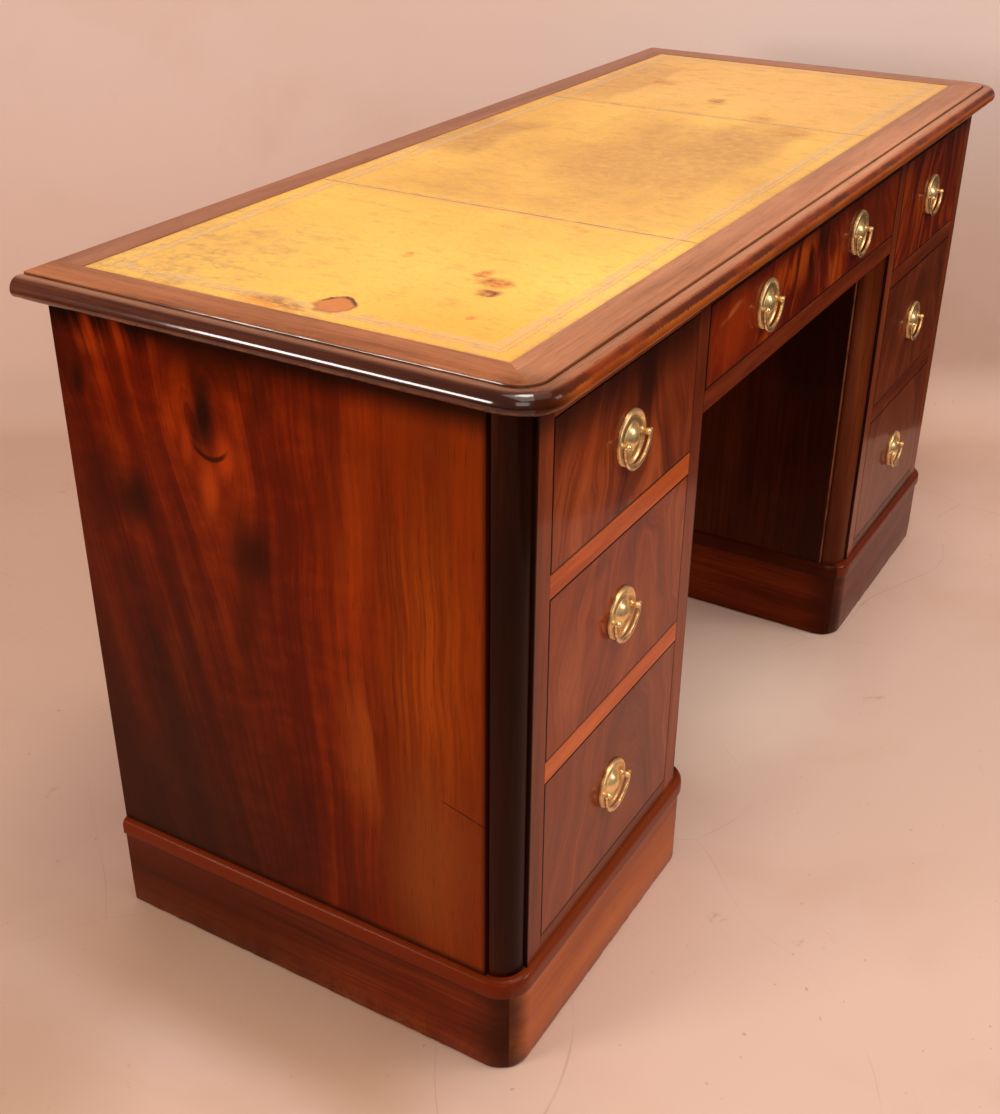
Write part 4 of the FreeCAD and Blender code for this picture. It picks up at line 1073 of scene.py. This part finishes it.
def hide_finish(name):
    f = Finish(name)
    x, y, _ = f.split(f.place)
    clouds = f.noise(f.place, scale=3.4, detail=4.0, rough=0.6)
    mottle = f.noise(f.wander(f.stretch(f.place, (60, 26, 30)), 0.5, (0.6, 0.6, 0.0)), detail=5.0, rough=0.7)
    grain = f.noise(f.place, (300, 170, 190), detail=3.0, rough=0.65)
    fuzz = f.noise(f.place, scale=75.0, detail=5.0, rough=0.75)
    f.colour = f.ramp(clouds * 0.6 + mottle * 0.4, (0.34, 0.47, 0.62),
                      ((192, 140, 66), (218, 165, 76), (236, 185, 88)))
    f.paint(f.span(x, -0.31, -0.23, 1.0, 0.0) * 0.45, (248, 194, 80))
    # The right end painted paler and pinker: a painted reflection.
    f.paint(f.span(x, 0.16, 0.46, 0.0, 0.50), (222, 170, 104))
    f.paint(f.span(x, -0.62, -0.46, 0.85, 0.0) * f.span(y, -0.14, 0.04, 1.0, 0.0), (228, 160, 56))
    grey = f.span(x, -0.52, -0.36, 1.0, 0.0) * f.span(y, 0.02, 0.16, 0.0, 1.0)
    grey = grey * f.span(fuzz * 0.6 + mottle * 0.4, 0.44, 0.60, 0.05, 0.55)
    f.paint(grey, (176, 138, 92))
    for at_x, at_y, half_x, half_y, strength in RUBBED:
        field = counted_from(f, at_x, at_y, (11.0, (0.06, 0.06, 0.0)), (1 / half_x, 1 / half_y, 0))
        across, along, _ = f.split(f.vector("ABSOLUTE", field))
        distance = f.sum("MAXIMUM", across, along)
        share = f.span(distance, 0.66, 1.15, strength, 0.0) * f.span(fuzz, 0.34, 0.60, 0.45, 1.0)
        f.paint(share, (172, 120, 66))
    f.paint(f.span(grain, 0.50, 0.74, 0.0, 0.30), (168, 112, 48))
    f.paint(f.span(mottle, 0.50, 0.68) * 0.42, (164, 118, 70))

    from_end = LEATHER_X - abs(x)
    from_side = f.sum("MINIMUM", y - LEATHER_FRONT, LEATHER_BACK - y)
    from_edge = f.sum("MINIMUM", from_end, from_side)
    from_edge = from_edge + (f.noise(f.place, scale=210.0, detail=2.0) - 0.5) * 0.0060
    from_seam = abs(abs(x) - SEAM_X)
    broken = f.span(f.noise(f.place, scale=75.0, detail=3.0), 0.34, 0.56)

    def line(value, at, half):
        return f.span(abs(value - at), half * 0.5, half, 1.0, 0.0)

    tooled = f.sum("MAXIMUM", line(from_edge, TOOLED_AT, 0.0026), line(from_edge, 0.0262, 0.0062))
    inside = f.sum("GREATER_THAN", from_side, TOOLED_AT)
    seam = f.sum("MAXIMUM", line(from_seam, 0.0000, 0.0020), line(from_seam, 0.0060, 0.0030) * 0.7) * inside
    pressed = f.sum("MAXIMUM", tooled, seam)
    f.paint(pressed * f.span(broken, 0.0, 1.0, 0.08, 0.62), (198, 160, 120))
    joint = line(from_seam, 0.0000, 0.0016) * f.span(broken, 0.0, 1.0, 0.35, 0.75)
    f.paint(joint, (146, 104, 62))
    hazy = f.span(from_edge, 0.012, 0.040, 1.0, 0.0) * f.span(clouds, 0.44, 0.62, 0.0, 0.4)
    f.paint(hazy * f.span(mottle, 0.4, 0.6), (198, 156, 116))
    f.paint(f.span(from_edge, 0.0, 0.006, 0.45, 0.0), (150, 104, 48))

    for at_x, at_y, size, strength, tall in MARKS:
        spot = blot(f, at_x, at_y, size, 0.7, tall) * strength
        dark = f.mix(f.span(mottle, 0.42, 0.60), (196, 104, 38), (126, 50, 22))
        f.paint(spot * f.span(grain, 0.3, 0.6, 0.45, 1.0), dark)
    ring_at = (-0.6145, -0.0195)
    disc = blot(f, *ring_at, 0.0215, 0.22)
    rim = blot(f, *ring_at, 0.0235, 0.2) - blot(f, *ring_at, 0.0185, 0.25)
    f.paint(disc * 0.9, (188, 106, 52))
    far_side = f.span(x, -0.616, -0.600, 0.35, 1.0)
    rim = f.sum("MULTIPLY", rim * far_side, f.span(mottle, 0.36, 0.52), clamp=True)
    f.paint(rim, (80, 32, 18))

    creases = f.bump(grain, 0.0006)
    wheel = f.bump(1.0 - pressed, 0.0007, creases)
    f.set(Roughness=f.span(mottle, 0.3, 0.7, 0.40, 0.58), Normal=wheel, Specular_IOR_Level=0.45)
    return f.set(Base_Color=f.colour)


leather = hide_finish("mustard_hide")
print("leather marks:", len(MARKS), "and one ring")


# %% [markdown]
# ## The skins
# Each skin is a fine grid with an upper and an under face. Glue pulls its edges down and the
# hide between them swells a little, by far less than a millimetre, but low light shows it.

# %% Leather skins
def skin(name, x0, x1):
    """One skin: a fine grid that dips at its edges and swells a little between them."""
    y0, y1 = LEATHER_FRONT + GAP, LEATHER_BACK - GAP
    under, upper_face = 0.7604, 0.7617
    columns, rows = round((x1 - x0) / 0.005), round((y1 - y0) / 0.005)
    vertices, faces = [], []
    for level in (under, upper_face):
        for i in range(columns + 1):
            for j in range(rows + 1):
                x = x0 + (x1 - x0) * i / columns
                y = y0 + (y1 - y0) * j / rows
                edge = min(x - x0, x1 - x, y - y0, y1 - y)
                dip = 0.0005 * max(0.0, 1 - edge / 0.004) if level == upper_face else 0.0
                swell = 0.00012 * noise.noise(Vector((x * 14, y * 14, 0))) if level == upper_face else 0.0
                vertices.append((x, y, level - dip + swell))
    stride = rows + 1
    upper = (columns + 1) * stride
    for i in range(columns):
        for j in range(rows):
            a = i * stride + j
            faces.append((a, a + 1, a + stride + 1, a + stride))
            faces.append((upper + a, upper + a + stride, upper + a + stride + 1, upper + a + 1))
    rim = ([i * stride for i in range(columns)] + [columns * stride + j for j in range(rows)]
           + [i * stride + rows for i in range(columns, 0, -1)] + [j for j in range(rows, 0, -1)])
    for a, b in zip(rim, rim[1:] + rim[:1]):
        faces.append((a, b, upper + b, upper + a))
    return piece_from(name, (vertices, faces), leather, 40)


for name, x0, x1 in (("leather_left", GAP - LEATHER_X, -SEAM_X - GAP),
                     ("leather_middle", GAP - SEAM_X, SEAM_X - GAP),
                     ("leather_right", SEAM_X + GAP, LEATHER_X - GAP)):
    hide = skin(name, x0, x1)
    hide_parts("writing_leather")
    print(name, [round(v, 3) for v in hide.dimensions])

# %% [markdown]
# ## Brass
# The pulls are stamped and cast brass, polished on what stands proud and brown in the
# hollows. On metal the colour lives in the reflection, so the finish is fully metallic, with
# a tarnish colour that grows where a noise and the depth of the relief say, and with fine
# turned lines that follow the lathe.

# %% Brass finish
def brass_finish(name):
    f = Finish(name)
    _, y, _ = f.split(f.place)
    clouds = f.noise(f.place, scale=110.0, detail=4.0, rough=0.6)
    depth = f.span(y, -0.0028, -0.0010)
    tarnish = f.sum("MULTIPLY", f.span(clouds, 0.34, 0.66), depth * 0.78 + 0.08, clamp=True)
    metal = f.mix(tarnish, (255, 218, 156), (124, 78, 34))
    scratches = f.noise(f.place, (900, 900, 2400), detail=2.0)
    f.set(Roughness=f.span(clouds, 0.3, 0.7, 0.24, 0.42), Normal=f.bump(scratches, 0.00003), Metallic=0.85)
    return f.set(Base_Color=metal)


brass = brass_finish("aged_brass")
print("brass finish:", brass.name)


# %% [markdown]
# ## The ring pulls
# Each pull is a stamped round plate with a rolled rim and a domed boss, two turned posts
# whose bolts pass through the drawer front to a nut, and a crescent bail that hangs from
# them. Round parts are made as on a lathe: an outline is turned about the pull's own axis.
# One mesh serves all eight pulls, because the real ones came from the same tools.

# %% Turning on a lathe
def turned(outline, at=(0.0, 0.0), steps=64):
    """An outline of (radius, distance out) turned about an axis that points out of the front."""
    rings = []
    for step in range(steps):
        angle = 2 * math.pi * step / steps
        rings.append([(at[0] + r * math.cos(angle), -out, at[1] + r * math.sin(angle)) for r, out in outline])
    vertices = [point for ring in rings for point in ring]
    faces = []
    count = len(outline)
    for step in range(steps):
        here, there = step * count, (step + 1) % steps * count
        for k in range(count - 1):
            faces.append((here + k, there + k, there + k + 1, here + k + 1))
    return vertices, faces


def metres(points):
    return [(r / 1000, out / 1000) for r, out in points]


def plate_outline():
    """Back, reeded edge, rolled rim, dished ring with a turned line, bead and domed boss, in mm."""
    points = [(0, 0), (27.7, 0), (28, 0.3), (28, 0.8), (27.6, 1.1), (27.9, 1.5), (27.8, 2.0), (27.4, 2.3),
              (27.6, 2.7), (27.5, 3.2), (27.1, 3.7), (26.6, 3.95), (26.0, 4.0), (25.4, 3.8), (24.8, 3.35),
              (24.3, 2.9), (23.4, 2.35), (22.2, 1.9), (20.6, 1.6), (18.8, 1.5), (17.4, 1.6), (16.4, 1.85),
              (16.0, 2.0), (15.7, 1.8), (15.2, 1.75)]
    points += arc((14.0, 1.8), 1.0, 0, 180, 6) + [(12.8, 2.0)]
    radius = (12.8 ** 2 + 6.4 ** 2) / (2 * 6.4)
    for step in range(1, 15):
        r = 12.8 * (1 - step / 14)
        points.append((r, 2.0 + 6.4 - radius + math.sqrt(radius ** 2 - r ** 2)))
    return metres(points)


def post_outline():
    """Bolt, collar, waisted neck and ball head with a small button, in mm."""
    shank = [(0, -26), (1.6, -26), (2, -25.6), (2, 1.0), (3.2, 1.2), (3.3, 2.2), (2.9, 2.7), (2.2, 3.1),
             (1.9, 4.0), (2.0, 5.0), (2.4, 5.9)]
    button = [(1.3, 11.5), (1.2, 11.8), (0.7, 11.9), (0, 11.9)]
    return metres(shank + arc((0, 8.5), 3.4, -44, 64, 9) + button)


def nut(at):
    """A six-sided nut inside the drawer, its corners eased."""
    rings = []
    for out, radius in ((-20.05, 4.5), (-20.5, 5.0), (-23.5, 5.0), (-24.0, 4.5)):
        rings.append([(at + radius / 1000 * math.cos(math.radians(60 * k)), -out / 1000,
                       radius / 1000 * math.sin(math.radians(60 * k))) for k in range(6)])
    return ringed(rings)


POST_AT = 0.0215
fittings = [turned(plate_outline(), steps=96)]
for sign in (-1, 1):
    fittings.append(turned(post_outline(), (sign * POST_AT, 0.0), steps=32))
    fittings.append(nut(sign * POST_AT))
pull_shape = gathered(fittings)
print("one pull:", len(pull_shape[0]), "points")


# %% [markdown]
# ## The bail
# The bail hangs below its hinge as half an ellipse, and it thickens towards the bottom, where
# fingers pull. A ball at each end hides the joint, and a pin reaches into the post.

# %% The bail
def bail_shape():
    """A crescent ring, wider at the bottom, with a small ball and a pin at each end."""
    span, drop = 0.0273, 0.027
    rings = []
    for step in range(49):
        angle = math.pi * step / 48
        centre = Vector((-span * math.cos(angle), 0, -drop * math.sin(angle)))
        outward = Vector((-drop * math.cos(angle), 0, -span * math.sin(angle))).normalized()
        width = 0.0017 + 0.0015 * math.sin(angle) ** 2
        rings.append([centre + outward * width * math.cos(t) + Vector((0, 0.0018 * math.sin(t), 0))
                      for t in (2 * math.pi * k / 20 for k in range(20))])
    parts = [ringed(rings)]
    knob = [(0, -2.1), (0.9, -1.9), (1.6, -1.4), (2.0, -0.6), (2.1, 0), (2.0, 0.6), (1.6, 1.4), (0.9, 1.9),
            (0, 2.1)]
    pin = [(0, 0), (1.1, 0), (1.1, 8.5), (0.9, 8.8), (0, 8.8)]
    for sign in (-1, 1):
        vertices, faces = turned(metres(knob), steps=20)
        parts.append(([(sign * (span - y), x, z) for x, y, z in vertices], faces))
        vertices, faces = turned(metres(pin), steps=16)
        parts.append(([(sign * (span + y), x, z) for x, y, z in vertices], faces))
    return gathered(parts)


def shared_mesh(name, shape):
    made = piece_from(name, shape, brass, 35)
    mesh = made.data
    bpy.data.objects.remove(made)
    return mesh


pull_mesh = shared_mesh("ring_pull", pull_shape)
bail_mesh = shared_mesh("ring_bail", bail_shape())


def place_brass(name, mesh, at, body, node):
    piece = placed(name, mesh)
    piece.location = at
    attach(piece, body)
    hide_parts(node)


hinges = [joint for joint in frame["joints"] if joint["type"] == "hinge"]
for joint in hinges:
    drawer, bail = joint["parent"], joint["child"]
    x, y, z = joint["pos_m"]
    plate = bail.replace("bail", "plate_and_posts")
    place_brass(plate, pull_mesh, (x, FRONT_Y, z), drawer, drawer + "_handle")
    place_brass(bail + "_ring", bail_mesh, (x, y, z), bail, bail)
print("pulls hung:", len(hinges))

# %% [markdown]
# ## Floor, backdrop and light
# The desk stands on a pale studio floor that sweeps up into a plain backdrop, and the light
# is soft: an even glow from all round, two lamps overhead, two in front and one low behind
# the left end, which lights the top from the back as a window would. The levels are set so
# that a colour renders about as it is written. The sweep is see-through from behind, so that
# it hides nothing when the desk is looked at from the back. Its paint carries a painted shadow
# along the left plinth and beyond the left end, painted shade along the left of the floor, a
# painted pool of light under the kneehole and painted light up the backdrop.

# %% Studio
AHEAD = Vector((math.sin(CAMERA_YAW), math.cos(CAMERA_YAW), 0))
ASIDE = Vector((AHEAD.y, -AHEAD.x, 0))


def studio_finish(name, shade, stain, scuff, one_sided=False):
    f = Finish(name)
    clouds = f.noise(f.place, scale=0.9, detail=3.0)
    scuffs = f.noise(f.place, (6, 9, 6), detail=5.0, rough=0.7)
    specks = f.noise(f.place, scale=95.0, detail=3.0)
    smears = f.noise(f.wander(f.place, 1.6, (0.5, 0.5, 0.3)), scale=2.6, detail=4.0, rough=0.6)
    f.colour = shade
    f.paint(f.span(clouds, 0.3, 0.7, 0.0, 0.5), stain)
    f.paint(f.span(smears, 0.48, 0.72, 0.0, 0.35), scuff)
    f.paint(f.span(scuffs, 0.60, 0.78, 0.0, 0.25), scuff)
    on_floor = f.span(f.split(f.place)[2], 0.02, 0.10, 1.0, 0.0)
    f.paint(f.span(specks, 0.71, 0.75, 0.0, 0.4) * on_floor, (142, 104, 72))
    bent = f.wander(f.place, 2.2, (0.35, 0.35, 0.0))
    cells = f.value("TexVoronoi", {"Vector": bent, "Scale": 1.9}, "Distance", feature="DISTANCE_TO_EDGE")
    cracks = f.span(cells, 0.0004, 0.0016, 0.22, 0.0) * on_floor
    f.paint(cracks * f.span(smears, 0.44, 0.56), (112, 84, 70))
    rust = f.noise(f.wander(f.place, 12.0, (0.06, 0.06, 0.0)), scale=7.0, detail=5.0, rough=0.7)
    f.paint(f.span(rust, 0.64, 0.72, 0.0, 0.45) * on_floor, (166, 120, 82))
    if one_sided:
        # Painted shadow along the left plinth and beyond the left end, a painted pool of light under the
        # kneehole, painted shade along the left of the floor and painted light up the backdrop.
        x, y, z = f.split(f.place)
        beside = f.span(x, -0.87, -0.78, 0.0, 0.62) * f.span(x, -0.70, -0.66, 1.0, 0.0)
        beside = beside * (f.span(y, -0.26, -0.12) * f.span(y, 0.16, 0.42, 1.0, 0.0))
        f.paint(beside * on_floor, (170, 126, 90))
        f.patch((-0.98, 0.20, None), (0.20, 0.22, None), 0.60, (172, 134, 106), on_floor)
        f.patch((0.05, -0.16, None), (0.30, 0.24, None), 0.85, (252, 222, 204), on_floor)
        sideways = f.vector("DOT_PRODUCT", f.place, tuple(ASIDE))
        dimmer = f.span(sideways, -0.72, -0.45, 0.45, 0.0) * f.span(z, 0.06, 0.14, 1.0, 0.0)
        f.paint(dimmer, (170, 134, 112))
        lighter = f.span(sideways, -0.5, 0.5, 0.3, 1.0) * f.span(z, 0.30, 0.75, 0.0, 0.55)
        f.paint(lighter, (240, 218, 212))
    f.set(Roughness=f.span(scuffs, 0.3, 0.7, 0.5, 0.65), Normal=f.bump(scuffs, 0.0006))
    f.set(Base_Color=f.colour, Specular_IOR_Level=0.2)
    if one_sided:
        clear = f.value("BsdfTransparent")
        behind = f.value("NewGeometry", output="Backfacing")
        painted = Wire(f, f.surface.outputs[0])
        shown = f.value("MixShader", {0: behind, 1: painted, 2: clear})
        f.feed(f.nodes["Material Output"], "Surface", shown)
    return f.material


def stage_sheet(name, outline, sides, finish):
    """An outline of (ahead, height) swept sideways from one side to the other."""
    vertices, faces = [], []
    for out, height in outline:
        for side in sides:
            spot = AHEAD * out + ASIDE * side
            vertices.append((spot.x, spot.y, height))
    for k in range(len(outline) - 1):
        faces.append((2 * k, 2 * k + 2, 2 * k + 3, 2 * k + 1)[::-1])
    mesh = bpy.data.meshes.new(name)
    mesh.from_pydata(vertices, [], faces)
    mesh.shade_smooth()
    mesh.materials.append(finish)
    print(name, "faces up:", mesh.polygons[0].normal.z > 0)
    sheet = placed(name, mesh)


sweep = [(-2.6, 0.0), (-1.0, 0.0), (0.3, 0.0), (0.82, 0.0)]
sweep += [(0.82 + 0.13 * math.sin(math.radians(a)), 0.13 - 0.13 * math.cos(math.radians(a)))
          for a in range(9, 91, 9)]
sweep += [(0.95, 0.8), (0.95, 2.6)]
stage_sheet("studio_sweep", sweep, (-1.85, 0.90), studio_finish(
    "sweep_paint", (213, 176, 157), (221, 188, 173), (197, 153, 124), one_sided=True))
stage_sheet("studio_ground", [(-5.0, -0.004), (5.0, -0.004)], (-5.0, 5.0),
            studio_finish("ground_paint", (46, 30, 22), (58, 40, 30), (34, 22, 16)))


def lamp(name, at, aim, size, power, colour):
    light = bpy.data.lights.new(name, "AREA")
    light.shape = "RECTANGLE"
    light.size, light.size_y = size
    light.energy = power
    light.color = colour
    holder = placed(name, light)
    holder.location = at
    holder.rotation_euler = (Vector(aim) - Vector(at)).to_track_quat("-Z", "Y").to_euler()


lamp("key", (-0.45, -0.35, 3.0), (-0.45, -0.3, 0.0), (0.7, 0.7), 23.0, (1.0, 0.94, 0.87))
lamp("overhead", (-0.5, -0.9, 3.1), (0.0, 0.0, 0.4), (2.6, 2.6), 51.0, (1.0, 0.94, 0.87))
lamp("front_left", (-4.0, -2.6, 2.8), (0.0, 0.0, 0.4), (2.0, 2.0), 39.0, (1.0, 0.94, 0.88))
lamp("front_right", (1.1, -3.3, 2.2), (0.1, 0.0, 0.5), (1.1, 1.1), 31.0, (1.0, 0.94, 0.88))
lamp("side_window", (-2.75, 1.25, 1.15), (-0.7, 0.0, 0.6), (0.9, 0.55), 40.0, (1.0, 0.96, 0.93))
world = bpy.data.worlds.new("soft_glow")
world.use_nodes = True
glow = world.node_tree.nodes["Background"]
glow.inputs["Color"].default_value = (1.0, 0.90, 0.82, 1.0)
glow.inputs["Strength"].default_value = 0.22
bpy.context.scene.world = world
bpy.context.scene.view_settings.view_transform = "Standard"
